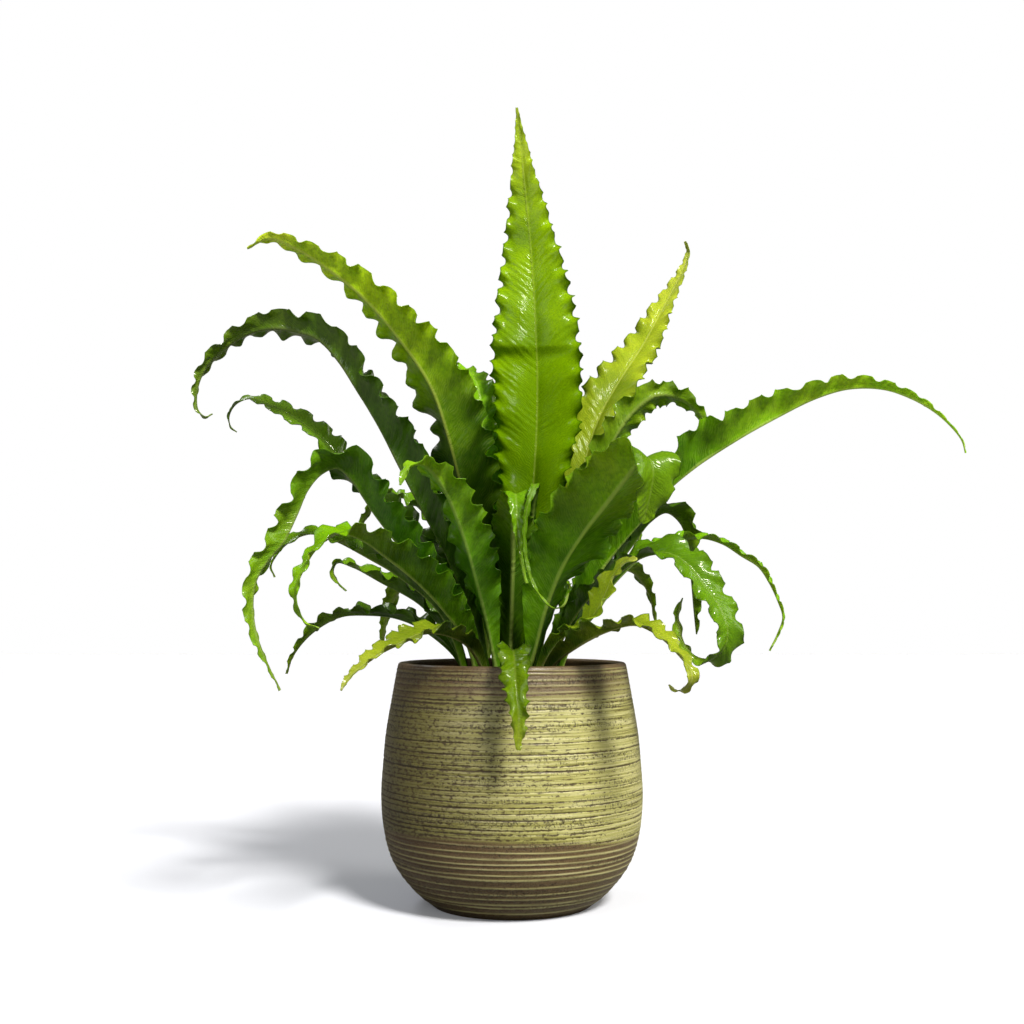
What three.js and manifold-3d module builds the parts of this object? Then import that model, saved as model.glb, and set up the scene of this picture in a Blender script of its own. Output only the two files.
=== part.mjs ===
// Bird's nest fern with waved, strap-like fronds, growing in a round stoneware planter.
// Millimetres, +Z up. The origin is the centre of the planter's foot, on the surface it stands on;
// -Y is the side that faces the viewer and +X is to the right.
import * as THREE from "three";
import { mergeVertices } from "three/addons/utils/BufferGeometryUtils.js";
import Module from "manifold-3d";

const wasm = await Module();
wasm.setup();

// Planter
const POT_HEIGHT = 228;
const POT_WALL = 8;
const POT_FLOOR = 12;
const POT_SIDES = 36;
const RIM_ROUND = 2.5;
const RIDGES = 14;
const RIDGE_DEPTH = 0.9;
// Heights at which the inner wall bends, the first at the floor and the last at the rim
const INNER_HEIGHTS = [POT_FLOOR, 26, 54, 100, 157, 194, POT_HEIGHT - RIM_ROUND];
// Outer shape as height and radius, without the throwing ridges
const POT_SHAPE = [
  [0, 76], [9.5, 88.7], [20.5, 99.5], [37.6, 112], [54.5, 119], [77, 123.5],
  [100, 125.2], [134, 123.6], [157, 121.7], [191, 116.4], [POT_HEIGHT, 110],
];

// Potting mix and the crown that the fronds grow from
const SOIL_TOP = 198;
const SOIL_SIDES = 18;
const CROWN_RADIUS = 51;
const CROWN_RISE = 12;
const CROWN_DEPTH = 16;
const SEAT_GAP = 0.3;

// Fronds
const SOCKET_DEPTH = 15;
const STALK_WIDTH = 6.4;
const STALK_THICKNESS = 3;
const RIB_THICKNESS = 2.4;
const BLADE_THICKNESS = 1.2;
const TIP_WIDTH = 2.4;
const MID_COLUMN = 0.56;
const WAVE_START = 44;
const WAVE_STEP = 13;
const TIP_STEP = 8;
const BROAD = 22;
const NARROW = 10;
const WAVE_FADE = 0.16;
const TOOTH_OUT = 2.4;
const TOOTH_MIDDLE = 0.25;
const LIFT_LEAST = 0.8;
const LIFT_SPREAD = 0.4;
// How the wave dies away where the blade is narrow, against its full width
const EBB_RATE = 2.2;
const EBB_LEAST = 0.08;
// How slowly the blade spreads from its stalk and how late it tapers to its tip
const SPREAD_POWER = 1.3;
const TAPER_POWER = 1.3;

const TONES = {
  lime: 0x8cb81c,
  green: 0x4f8a14,
  dark: 0x2f5c10,
  yellow: 0xa9b93a,
};
const GLAZE = 0x99995a;
const POTTING_MIX = 0x2e2118;
const CROWN_SCALES = 0x3a2615;

// Each frond grows in an upright plane. heading is that plane's direction in degrees, 0 to the
// right and 90 away from the viewer. route holds points that the midrib passes through: reach from
// the planter's axis, height, and where it leaves the plane, how far to its left. fold is the angle
// that each half of the blade is raised by, and twist the turn about the midrib, both at even steps
// from root to tip. belly is where the blade is widest, as a share of its length, tail how fast it
// narrows from there, and wave how far its margin rises and falls.
const FRONDS = [
  {
    name: "frond_tall_centre", tone: "lime", heading: 88, width: 92, belly: 0.55, tail: 1.2, wave: 6,
    fold: [55, 22, 12, 10, 12, 20], twist: [0, 0, 0, -4, -6, 0],
    route: [[12, 217], [22, 290, -12], [38, 400, -20], [52, 490, -24], [62, 580, -22], [68, 655, -17],
      [70, 730, -10], [66, 804, -3]],
  },
  {
    name: "frond_lean_left", tone: "lime", heading: 196, width: 88, belly: 0.42, tail: 0.9, wave: 6,
    fold: [55, 34, 24, 22, 24, 26], twist: [0, 4, 24, 30, 24, 16],
    route: [[12, 217], [26, 290], [39, 355], [59, 430], [79, 490], [109, 535], [144, 574], [178, 600],
      [210, 619], [238, 627], [258, 616]],
  },
  {
    name: "frond_back_left", tone: "green", heading: 117, width: 52, belly: 0.5, tail: 1.2, wave: 5,
    fold: [55, 34, 26, 24, 24, 26], twist: [0, 0, 0, 0, 0, 0],
    route: [[22, 215], [40, 290], [53, 350], [60, 400], [64, 440], [70, 490], [86, 520], [112, 533],
      [146, 533], [174, 523], [190, 508]],
  },
  {
    name: "frond_lime_right", tone: "lime", heading: 41, width: 64, belly: 0.48, tail: 1.05, wave: 5,
    fold: [55, 36, 20, 14, 14, 20], twist: [0, 6, 20, 28, 24, 10],
    route: [[22, 215], [52, 290], [80, 370], [103, 441], [124, 484], [154, 524], [189, 566], [219, 608],
      [243, 642], [258, 666], [262, 680], [257, 690]],
  },
  {
    name: "frond_wide_right", tone: "dark", heading: 305, width: 86, belly: 0.55, tail: 0.6, wave: 5,
    fold: [45, 28, 22, 22, 18, 16], twist: [0, -4, -10, -12, -6, 0],
    route: [[22, 215], [36, 238], [54, 278], [81, 319], [111, 347], [142, 370], [170, 391], [191, 406],
      [204, 407], [209, 395], [205, 377], [195, 352]],
  },
  {
    name: "frond_curl_front", tone: "green", heading: 270, width: 54, belly: 0.4, tail: 2.1, wave: 4,
    fold: [50, 36, 24, 20, 20, 20], twist: [0, 0, 0, 0, 0, 0],
    route: [[12, 217, -2], [19, 250, -1], [29, 290, 0], [41, 326, 1], [56, 356, 1], [73, 378, 2],
      [87, 384, 3], [97, 374, 4], [101, 352, 5], [103, 326, 8], [106, 302, 13]],
  },
  {
    name: "frond_tendril", tone: "yellow", heading: 315, width: 9, belly: 0.4, tail: 1.1, wave: 0.6,
    fold: [30, 16, 8, 6, 8, 12], twist: [0, 0, 0, 0, 0, 0],
    route: [[12, 216, 7.8], [14, 250, 7.1], [18, 290, 4.9], [26, 330, -2.1], [40, 362, -13.4],
      [57, 384, -27.6], [72, 393, -41.0], [83, 390, -54.4], [87, 376, -65.8], [87, 352, -71.4],
      [89, 328, -72.1], [95, 304, -70.0], [103, 288, -64.3], [109, 280, -56.6], [114, 283, -48.8],
      [115, 293, -44.5]],
  },
  {
    name: "frond_arch_left", tone: "dark", heading: 184, width: 74, belly: 0.36, tail: 1.0, wave: 6.5,
    fold: [58, 47, 43, 36, 20, 16], twist: [0, 0, 4, 10, 22, 16],
    route: [[22, 215], [42, 280], [64, 334], [86, 374], [110, 420], [129, 457], [149, 490], [169, 521],
      [190, 543], [208, 549], [232, 552], [256, 547], [277, 534], [294, 518], [303, 500], [306, 483],
      [304, 470], [297, 464], [290, 467]],
  },
  {
    name: "frond_wisp_left", tone: "dark", heading: 168, width: 52, belly: 0.38, tail: 0.9, wave: 4,
    fold: [55, 44, 34, 22, 16, 14], twist: [0, 0, -8, -26, -34, -20],
    route: [[32, 212], [54, 268], [82, 326], [112, 360], [145, 390], [182, 434], [207, 460], [231, 477],
      [255, 489], [275, 495], [291, 489], [298, 477], [296, 466], [289, 460]],
  },
  {
    name: "frond_bent_left", tone: "dark", heading: 210, width: 62, belly: 0.42, tail: 1.2, wave: 5.5,
    fold: [55, 40, 30, 26, 24, 24], twist: [0, 0, 0, 30, 50, 30],
    route: [[32, 212], [61, 278], [108, 325], [146, 368], [167, 396], [183, 408], [199, 402],
      [213, 386], [223, 363], [234, 340], [249, 322], [259, 305], [262, 283], [258, 256], [247, 230],
      [235, 208]],
  },
  {
    name: "frond_front_left", tone: "green", heading: 224, width: 60, belly: 0.4, tail: 1.3, wave: 5,
    fold: [55, 36, 28, 26, 24, 24], twist: [0, 0, 0, 0, 0, 0],
    route: [[42, 209], [62, 252], [108, 296], [150, 323], [184, 341], [208, 345], [229, 334],
      [244, 316], [253, 295], [250, 278], [241, 267], [229, 263]],
  },
  {
    name: "frond_under_left", tone: "green", heading: 189.5, width: 48, belly: 0.48, tail: 1.3, wave: 4,
    fold: [55, 40, 32, 22, 20, 20], twist: [0, 0, 0, -20, -24, -10],
    route: [[42, 209], [70, 276], [109, 311], [143, 331], [171, 345], [195, 351], [213, 344],
      [226, 330], [231, 319], [227, 309]],
  },
  {
    name: "frond_hook_left", tone: "dark", heading: 169, width: 44, belly: 0.42, tail: 1.0, wave: 4,
    fold: [55, 40, 34, 30, 30, 30], twist: [0, 0, 0, 0, 0, 0],
    route: [[42, 209], [62, 250], [91, 284], [131, 306], [160, 321], [178, 326], [183, 317], [177, 305],
      [168, 297]],
  },
  {
    name: "frond_low_left", tone: "dark", heading: 157.5, width: 42, belly: 0.4, tail: 1.0, wave: 4,
    fold: [50, 36, 30, 30, 30, 30], twist: [0, 0, 0, 0, 0, 0],
    route: [[42, 209], [64, 236], [97, 260], [126, 271], [158, 274], [190, 272], [215, 261], [235, 245],
      [248, 228], [254, 212]],
  },
  {
    name: "frond_lime_left", tone: "yellow", heading: 238, width: 38, belly: 0.42, tail: 1.0, wave: 3,
    fold: [50, 36, 30, 26, 24, 24], twist: [0, 0, 0, 0, 0, 0],
    route: [[42, 209], [56, 228], [78, 246], [114, 257], [150, 258], [178, 251], [206, 243], [231, 233],
      [250, 223], [259, 214]],
  },
  {
    name: "frond_drop_front", tone: "lime", heading: 268, width: 27, belly: 0.55, tail: 0.8, wave: 4,
    fold: [45, 30, 20, 14, 10, 10], twist: [0, 0, 0, 0, 0, 0],
    route: [[42, 209], [55, 224, 1], [82, 240, 3], [110, 242, 5], [134, 231, 7], [150, 210, 9],
      [158, 185, 11], [160, 160, 11]],
  },
  {
    name: "frond_back_right", tone: "green", heading: 3, width: 38, belly: 0.62, tail: 0.55, wave: 4,
    fold: [55, 36, 20, 14, 14, 16], twist: [0, 0, -16, -44, -56, -40],
    route: [[22, 215], [43, 299], [64, 366], [80, 410], [99, 445], [119, 473], [142, 489],
      [165, 488, 3], [182, 477, 3], [192, 463, 3]],
  },
  {
    name: "frond_long_right", tone: "green", heading: 355, width: 82, belly: 0.42, tail: 1.5, wave: 5,
    fold: [55, 48, 46, 44, 40, 30], twist: [0, 0, -4, -6, -4, 0],
    route: [[32, 212], [62, 278], [94, 328], [126, 366], [150, 394], [182, 420], [221, 445], [259, 466],
      [292, 482], [325, 491], [357, 490], [383, 481], [404, 468], [420, 453], [430, 439], [433, 427]],
  },
  {
    name: "frond_finger_right", tone: "dark", heading: 9.5, width: 44, belly: 0.56, tail: 0.75, wave: 4,
    fold: [55, 40, 34, 30, 30, 30], twist: [0, 0, 0, 0, 0, 0],
    route: [[42, 209], [64, 262], [90, 304], [118, 340], [138, 366], [156, 376], [172, 364], [179, 338],
      [182, 308], [184, 278], [186, 254]],
  },
  {
    name: "frond_wisp_right", tone: "green", heading: 350, width: 25, belly: 0.4, tail: 1.2, wave: 3,
    fold: [50, 40, 34, 30, 30, 30], twist: [0, 0, 0, 0, 0, 0],
    route: [[42, 209], [59, 247], [86, 288], [115, 320], [136, 337], [159, 344], [182, 347], [203, 341],
      [221, 329], [236, 319], [246, 304], [254, 286], [258, 271], [253, 256], [245, 240]],
  },
  {
    name: "frond_hoop_right", tone: "green", heading: 330.5, width: 42, belly: 0.4, tail: 0.62, wave: 4,
    fold: [50, 32, 20, 16, 16, 20], twist: [0, 4, 16, 24, 16, 0],
    route: [[42, 209], [53, 248], [79, 286], [112, 312], [139, 328], [164, 330], [183, 319], [199, 300],
      [213, 281], [220, 261], [217, 245], [206, 235], [194, 234], [181, 242], [174, 257], [172, 274],
      [177, 289]],
  },
  {
    name: "frond_low_right", tone: "yellow", heading: 308, width: 40, belly: 0.36, tail: 1.0, wave: 4,
    fold: [50, 34, 28, 24, 22, 20], twist: [0, 0, 0, 0, 0, 0],
    route: [[42, 209], [65, 229], [98, 246], [133, 259], [172, 266], [194, 261], [212, 252], [228, 240],
      [239, 230], [241, 221], [232, 212], [221, 211], [214, 215]],
  },
  {
    name: "frond_twist_right", tone: "yellow", heading: 312.5, width: 40, belly: 0.6, tail: 0.8, wave: 4,
    fold: [50, 30, 24, 24, 24, 24], twist: [0, 0, 16, 46, 50, 30],
    route: [[32, 212], [47, 232], [68, 252], [100, 266], [117, 282], [126, 296], [134, 310], [149, 321],
      [163, 323]],
  },
  {
    name: "frond_inner_left", tone: "dark", heading: 233, width: 53, belly: 0.55, tail: 1.0, wave: 5,
    fold: [55, 40, 30, 26, 24, 24], twist: [0, 0, 0, 0, 0, 0],
    route: [[22, 215], [40, 268], [60, 318], [82, 360], [106, 392], [132, 408], [152, 404], [164, 388]],
  },
  {
    name: "frond_rear_tall", tone: "green", heading: 82, width: 62, belly: 0.45, tail: 1.2, wave: 5,
    fold: [55, 40, 30, 26, 24, 24], twist: [0, 0, 0, 0, 0, 0],
    route: [[32, 212], [53, 290], [75, 370], [99, 440], [130, 500], [166, 540], [206, 560], [244, 558],
      [272, 539], [286, 512]],
  },
  {
    name: "frond_rear_mid_right", tone: "green", heading: 57, width: 54, belly: 0.42, tail: 1.2, wave: 5,
    fold: [55, 40, 32, 28, 26, 26], twist: [0, 0, 0, 0, 0, 0],
    route: [[32, 212], [63, 280], [95, 340], [129, 388], [166, 416], [204, 420], [238, 404], [262, 374],
      [272, 340]],
  },
  {
    name: "frond_rear_mid_left", tone: "dark", heading: 105, width: 52, belly: 0.42, tail: 1.2, wave: 5,
    fold: [55, 40, 32, 28, 26, 26], twist: [0, 0, 0, 0, 0, 0],
    route: [[32, 212], [60, 280], [90, 345], [124, 400], [164, 434], [208, 444], [248, 430], [276, 400],
      [290, 362]],
  },
  {
    name: "frond_rear_side_left", tone: "dark", heading: 136, width: 44, belly: 0.42, tail: 1.2, wave: 5,
    fold: [55, 40, 32, 28, 26, 26], twist: [0, 0, 0, 0, 0, 0],
    route: [[32, 212], [60, 270], [90, 332], [122, 376], [158, 398], [194, 398], [224, 378],
      [240, 346]],
  },
  {
    name: "frond_rear_low_left", tone: "green", heading: 127, width: 46, belly: 0.42, tail: 1.1, wave: 4,
    fold: [50, 36, 30, 26, 26, 26], twist: [0, 0, 0, 0, 0, 0],
    route: [[42, 209], [66, 248], [100, 286], [138, 308], [178, 312], [212, 296], [234, 266],
      [242, 234]],
  },
  {
    name: "frond_rear_low", tone: "green", heading: 97, width: 44, belly: 0.42, tail: 1.1, wave: 4,
    fold: [50, 36, 30, 26, 26, 26], twist: [0, 0, 0, 0, 0, 0],
    route: [[42, 209], [64, 240], [98, 272], [138, 290], [180, 286], [214, 262], [232, 228], [236, 196]],
  },
  {
    name: "frond_rear_low_right", tone: "lime", heading: 72.5, width: 42, belly: 0.42, tail: 1.1, wave: 4,
    fold: [50, 36, 30, 26, 26, 26], twist: [0, 0, 0, 0, 0, 0],
    route: [[42, 209], [66, 246], [100, 280], [140, 300], [178, 300], [208, 280], [226, 250]],
  },
  {
    name: "frond_rear_side_right", tone: "green", heading: 42, width: 44, belly: 0.42, tail: 1.1, wave: 4,
    fold: [50, 36, 30, 26, 26, 26], twist: [0, 0, 0, 0, 0, 0],
    route: [[42, 209], [68, 250], [102, 292], [140, 318], [174, 318], [198, 296], [208, 264]],
  },
];

const radians = THREE.MathUtils.degToRad;

// A smooth curve through evenly spaced values, read at a share from 0 to 1
function along(values, share) {
  const last = values.length - 1;
  const place = Math.min(Math.max(share, 0), 1) * last;
  const i = Math.min(Math.floor(place), last - 1);
  const f = place - i;
  const a = values[Math.max(i - 1, 0)];
  const b = values[i];
  const c = values[i + 1];
  const d = values[Math.min(i + 2, last)];
  return b + 0.5 * f * (c - a + f * (2 * a - 5 * b + 4 * c - d + f * (3 * (b - c) + d - a)));
}

function smooth(value) {
  const x = Math.min(Math.max(value, 0), 1);
  return x * x * (3 - 2 * x);
}

// Half of the blade's width at a share of its length, without the teeth of the margin
function halfWidth(frond, share) {
  const full = frond.width / 2;
  const stalk = STALK_WIDTH / 2;
  if (share < frond.belly) {
    const rise = Math.pow(Math.sin((share / frond.belly) * Math.PI / 2), SPREAD_POWER);
    return stalk + (full - stalk) * rise;
  }
  const past = (share - frond.belly) / (1 - frond.belly);
  return TIP_WIDTH / 2 + (full - TIP_WIDTH / 2) * Math.pow(1 - Math.pow(past, TAPER_POWER), frond.tail);
}

// The midrib's curve and the two directions of its upright plane
function growth(frond) {
  const angle = radians(frond.heading);
  const out = new THREE.Vector3(Math.cos(angle), Math.sin(angle), 0);
  const left = new THREE.Vector3(-Math.sin(angle), Math.cos(angle), 0);
  const points = frond.route.map(([reach, height, aside = 0]) =>
    new THREE.Vector3(0, 0, height).addScaledVector(out, reach).addScaledVector(left, aside));
  const curve = new THREE.CatmullRomCurve3(points, false, "centripetal");
  curve.arcLengthDivisions = 600;
  return { curve, left, length: curve.getLength() };
}

// Point, side and upper-face directions of the midrib, at a distance from where it leaves the crown
function station(frond, grown, distance) {
  const share = Math.min(Math.max(distance / grown.length, 0), 1);
  const run = grown.curve.getTangentAt(share);
  const point = grown.curve.getPointAt(share);
  if (distance < 0) point.addScaledVector(run, distance);
  const side = grown.left.clone().addScaledVector(run, -grown.left.dot(run)).normalize();
  side.applyAxisAngle(run, radians(along(frond.twist, share)));
  const up = new THREE.Vector3().crossVectors(run, side);
  return { point, side, up, run, share };
}

// Distances along the midrib: three in the socket, one up the stalk, then one for each rise or
// fall of the waved margin, closer together where the blade is narrow, an even number in all
function stationDistances(frond, length) {
  const waved = length - WAVE_START;
  const marks = [0];
  while (marks[marks.length - 1] < waved) {
    const reached = marks[marks.length - 1];
    const breadth = Math.min(1, halfWidth(frond, (WAVE_START + reached) / length) / BROAD);
    marks.push(reached + TIP_STEP + (WAVE_STEP - TIP_STEP) * breadth);
  }
  if (marks.length % 2 === 0) marks.pop();
  const stretch = waved / marks[marks.length - 1];
  const distances = [-SOCKET_DEPTH, -SOCKET_DEPTH / 2, 0, WAVE_START / 2];
  return distances.concat(marks.map((mark) => WAVE_START + mark * stretch));
}

// Seeded numbers from 0 to 1, so that no two fronds have the same waves
function dice(seed) {
  let state = seed;
  return () => {
    state = (state * 1664525 + 1013904223) % 4294967296;
    return state / 4294967296;
  };
}

// One frond as a closed blade: midrib, a middle line on each half and a waved margin. The lower
// face has the same triangles as the upper one, so the two never cross.
function frondGeometry(frond, index) {
  const grown = growth(frond);
  const distances = stationDistances(frond, grown.length);
  const random = dice(977 + 131 * index);
  const positions = [];
  const triangles = [];
  const rows = distances.map((distance, k) => {
    const { point, side, up, share } = station(frond, grown, distance);
    const width = distance <= 0 ? STALK_WIDTH / 2 : halfWidth(frond, share);
    const fold = distance <= 0 ? 0 : radians(along(frond.fold, share));
    const rise = smooth((distance - WAVE_START) / (WAVE_FADE * grown.length));
    const ebb = Math.min(1, (EBB_RATE * width) / frond.width + EBB_LEAST);
    const swing = frond.wave * rise * ebb;
    const thinning = smooth(distance / WAVE_START);
    const ridge = BLADE_THICKNESS + (RIB_THICKNESS - BLADE_THICKNESS) * Math.min(1, width / BROAD);
    const ribThickness = STALK_THICKNESS + (ridge - STALK_THICKNESS) * thinning;
    const thickness = STALK_THICKNESS + (BLADE_THICKNESS - STALK_THICKNESS) * thinning;
    const row = { rib: addPair(point, up, ribThickness) };
    for (const [key, hand] of [["left", 1], ["right", -1]]) {
      const across = side.clone().multiplyScalar(hand * Math.cos(fold)).addScaledVector(up, Math.sin(fold));
      const normal = up.clone().multiplyScalar(Math.cos(fold)).addScaledVector(side, -hand * Math.sin(fold));
      const crest = (k % 2 === 0 ? 1 : -1) * hand;
      const lift = swing * crest * (LIFT_LEAST + LIFT_SPREAD * random());
      const tooth = rise * ebb * TOOTH_OUT * (random() - TOOTH_MIDDLE);
      const middle = point.clone().addScaledVector(across, width * MID_COLUMN);
      const margin = point.clone().addScaledVector(across, width + tooth).addScaledVector(normal, lift);
      row[key] = {
        middle: distance > 0 && width < NARROW ? row.rib : addPair(middle, normal, thickness),
        margin: addPair(margin, normal, thickness),
      };
    }
    return row;
  });

  function addPair(top, normal, thickness) {
    positions.push(top.x, top.y, top.z);
    positions.push(top.x - normal.x * thickness, top.y - normal.y * thickness, top.z - normal.z * thickness);
    return positions.length / 3 - 2;
  }

  // A triangle of the upper face and the one below it, where its corners are three points
  function both(a, b, c) {
    if (a === b || b === c || c === a) return;
    triangles.push(a, b, c);
    triangles.push(a + 1, c + 1, b + 1);
  }

  function wall(a, b) {
    if (a === b) return;
    triangles.push(a, a + 1, b + 1);
    triangles.push(a, b + 1, b);
  }

  for (let k = 0; k + 2 < rows.length; k += 2) {
    const [near, between, far] = rows.slice(k, k + 3);
    const l = [near.left, between.left, far.left];
    both(near.rib, far.rib, far.left.middle);
    both(near.rib, far.left.middle, near.left.middle);
    both(l[0].middle, l[1].margin, l[0].margin);
    both(l[0].middle, l[2].middle, l[1].margin);
    both(l[2].middle, l[2].margin, l[1].margin);
    wall(l[1].margin, l[0].margin);
    wall(l[2].margin, l[1].margin);
    const r = [near.right, between.right, far.right];
    both(near.rib, far.right.middle, far.rib);
    both(near.rib, near.right.middle, far.right.middle);
    both(r[0].middle, r[0].margin, r[1].margin);
    both(r[0].middle, r[1].margin, r[2].middle);
    both(r[2].middle, r[1].margin, r[2].margin);
    wall(r[0].margin, r[1].margin);
    wall(r[1].margin, r[2].margin);
  }
  closeEnd(rows[0], true);
  closeEnd(rows[rows.length - 1], false);

  function closeEnd(row, root) {
    const line = [row.left.margin, row.left.middle, row.rib, row.right.middle, row.right.margin];
    for (let i = 0; i + 1 < line.length; i += 1) {
      if (root) wall(line[i], line[i + 1]);
      else wall(line[i + 1], line[i]);
    }
  }

  const geometry = new THREE.BufferGeometry();
  geometry.setAttribute("position", new THREE.Float32BufferAttribute(positions, 3));
  geometry.setIndex(triangles);
  return geometry;
}

// A closed mesh as a solid that can be cut
function solidOf(geometry) {
  const bare = geometry.clone();
  bare.deleteAttribute("normal");
  bare.deleteAttribute("uv");
  const merged = mergeVertices(bare, 1e-4);
  const mesh = new wasm.Mesh({
    numProp: 3,
    vertProperties: new Float32Array(merged.attributes.position.array),
    triVerts: new Uint32Array(merged.index.array),
  });
  return new wasm.Manifold(mesh);
}

function geometryOf(solid) {
  const mesh = solid.getMesh();
  const geometry = new THREE.BufferGeometry();
  geometry.setAttribute("position", new THREE.BufferAttribute(mesh.vertProperties, 3));
  geometry.setIndex(new THREE.BufferAttribute(mesh.triVerts, 1));
  return geometry;
}

// A solid of revolution about Z from radius and height pairs
function turned(profile, sides) {
  const outline = profile.map(([radius, height]) => new THREE.Vector2(radius, height));
  const geometry = new THREE.LatheGeometry(outline, sides);
  geometry.rotateX(Math.PI / 2);
  return geometry;
}

// Outer radius of the planter at a height, along straight stretches of its shape
function outerRadius(height) {
  const i = POT_SHAPE.findIndex(([top]) => top >= height);
  if (i <= 0) return POT_SHAPE[0][1];
  const [lowHeight, lowRadius] = POT_SHAPE[i - 1];
  const [highHeight, highRadius] = POT_SHAPE[i];
  const part = (height - lowHeight) / (highHeight - lowHeight);
  return lowRadius + (highRadius - lowRadius) * part;
}

// The thrown planter: ridged outside, rounded rim, smooth inside
function planterGeometry() {
  const shape = new THREE.SplineCurve(POT_SHAPE.map(([height, radius]) => new THREE.Vector2(radius, height)));
  const [rimHeight, rimRadius] = POT_SHAPE[POT_SHAPE.length - 1];
  const profile = [[0, 0]];
  for (let i = 0; i < 2 * RIDGES; i += 1) {
    const point = shape.getPointAt(i / (2 * RIDGES));
    const groove = i % 2 === 1 ? RIDGE_DEPTH : 0;
    profile.push([point.x - groove, point.y]);
  }
  profile.push([rimRadius, rimHeight - RIM_ROUND]);
  profile.push([rimRadius - RIM_ROUND, rimHeight]);
  profile.push([rimRadius - POT_WALL + RIM_ROUND, rimHeight]);
  for (const height of [...INNER_HEIGHTS].reverse()) {
    profile.push([outerRadius(height) - POT_WALL, height]);
  }
  profile.push([0, POT_FLOOR]);
  return turned(profile, POT_SIDES);
}

// Potting mix that fills the planter, with a plain round hole for the crown
function soilGeometry() {
  const flats = Math.cos(Math.PI / POT_SIDES);
  const profile = [[0, POT_FLOOR + SEAT_GAP]];
  for (const height of INNER_HEIGHTS.slice(0, -1)) {
    const radius = (outerRadius(height) - POT_WALL) * flats - SEAT_GAP;
    profile.push([radius, Math.max(height, POT_FLOOR + SEAT_GAP)]);
  }
  const hole = CROWN_RADIUS + SEAT_GAP;
  profile.push([hole, SOIL_TOP]);
  profile.push([hole, SOIL_TOP - CROWN_DEPTH - SEAT_GAP]);
  profile.push([0, SOIL_TOP - CROWN_DEPTH - SEAT_GAP]);
  return turned(profile, SOIL_SIDES);
}

// The domed crown, with a plain socket for each frond's stalk
function crownGeometry() {
  const profile = [[0, SOIL_TOP - CROWN_DEPTH], [CROWN_RADIUS, SOIL_TOP - CROWN_DEPTH]];
  for (const part of [1, 0.86, 0.66, 0.4, 0]) {
    profile.push([CROWN_RADIUS * part, SOIL_TOP + CROWN_RISE * (1 - part * part)]);
  }
  let crown = solidOf(turned(profile, SOIL_SIDES));
  for (const frond of FRONDS) {
    const { point, side, up, run } = station(frond, growth(frond), 0);
    const above = 2 * CROWN_RISE;
    const length = SOCKET_DEPTH + SEAT_GAP + above;
    const box = new THREE.BoxGeometry(
      STALK_WIDTH + 2 * SEAT_GAP, STALK_THICKNESS + 2 * SEAT_GAP, length);
    const centre = point.clone().addScaledVector(up, -STALK_THICKNESS / 2)
      .addScaledVector(run, length / 2 - SOCKET_DEPTH - SEAT_GAP);
    const place = new THREE.Matrix4().makeBasis(side, up, run).setPosition(centre);
    if (place.determinant() < 0) place.makeBasis(side.negate(), up, run).setPosition(centre);
    crown = crown.subtract(solidOf(box.applyMatrix4(place)));
  }
  return geometryOf(crown);
}

function piece(name, geometry, color, roughness) {
  const material = new THREE.MeshStandardMaterial({ color, roughness, metalness: 0 });
  const mesh = new THREE.Mesh(geometry, material);
  mesh.name = name;
  return mesh;
}

const plant = new THREE.Group();
plant.add(piece("planter", planterGeometry(), GLAZE, 0.45));
plant.add(piece("potting_mix", soilGeometry(), POTTING_MIX, 0.95));
plant.add(piece("crown", crownGeometry(), CROWN_SCALES, 0.9));
FRONDS.forEach((frond, index) => {
  plant.add(piece(frond.name, frondGeometry(frond, index), TONES[frond.tone], 0.35));
});

export default plant;
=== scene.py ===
"""Looks of a bird's nest fern with waved fronds, potted in a round glazed stoneware planter.

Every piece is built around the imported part, in metres and in its frame. The tables and the sizes
of the source are repeated here in millimetres, because this script reads nothing but the frame.
"""

from __future__ import annotations

import logging
import math
from dataclasses import dataclass, field
from enum import Enum
from functools import partial
from typing import Any, Callable, Sequence

import bpy
import numpy as np
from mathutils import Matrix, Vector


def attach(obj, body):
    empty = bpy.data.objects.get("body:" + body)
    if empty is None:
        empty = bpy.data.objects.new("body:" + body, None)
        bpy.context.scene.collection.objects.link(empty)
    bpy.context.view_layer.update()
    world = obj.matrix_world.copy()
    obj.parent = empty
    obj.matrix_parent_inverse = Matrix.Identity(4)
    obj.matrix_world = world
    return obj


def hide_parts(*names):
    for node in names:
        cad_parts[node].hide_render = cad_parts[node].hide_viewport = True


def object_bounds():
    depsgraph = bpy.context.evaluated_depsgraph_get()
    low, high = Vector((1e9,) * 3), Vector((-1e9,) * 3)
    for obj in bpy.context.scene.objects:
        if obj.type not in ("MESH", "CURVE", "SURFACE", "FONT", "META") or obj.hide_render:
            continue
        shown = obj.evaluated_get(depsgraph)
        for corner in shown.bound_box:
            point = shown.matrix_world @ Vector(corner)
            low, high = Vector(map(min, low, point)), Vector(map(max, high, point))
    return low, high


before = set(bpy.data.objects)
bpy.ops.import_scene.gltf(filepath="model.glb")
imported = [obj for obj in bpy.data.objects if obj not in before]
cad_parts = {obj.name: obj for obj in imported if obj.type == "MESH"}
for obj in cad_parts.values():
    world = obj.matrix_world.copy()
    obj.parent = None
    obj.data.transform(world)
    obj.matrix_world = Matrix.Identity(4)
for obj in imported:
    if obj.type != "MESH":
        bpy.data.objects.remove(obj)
CAD_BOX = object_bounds()

LOG = logging.getLogger("potted_fern")
MM = 0.001
TURN = 2 * math.pi
# Kept clear inside the CAD box, merged along seams, and how far the grid's two faces lie apart
# before they are bent.
BOX_MARGIN = 0.2 * MM
SEAM = 1e-5
SHELL = 0.5
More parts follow.
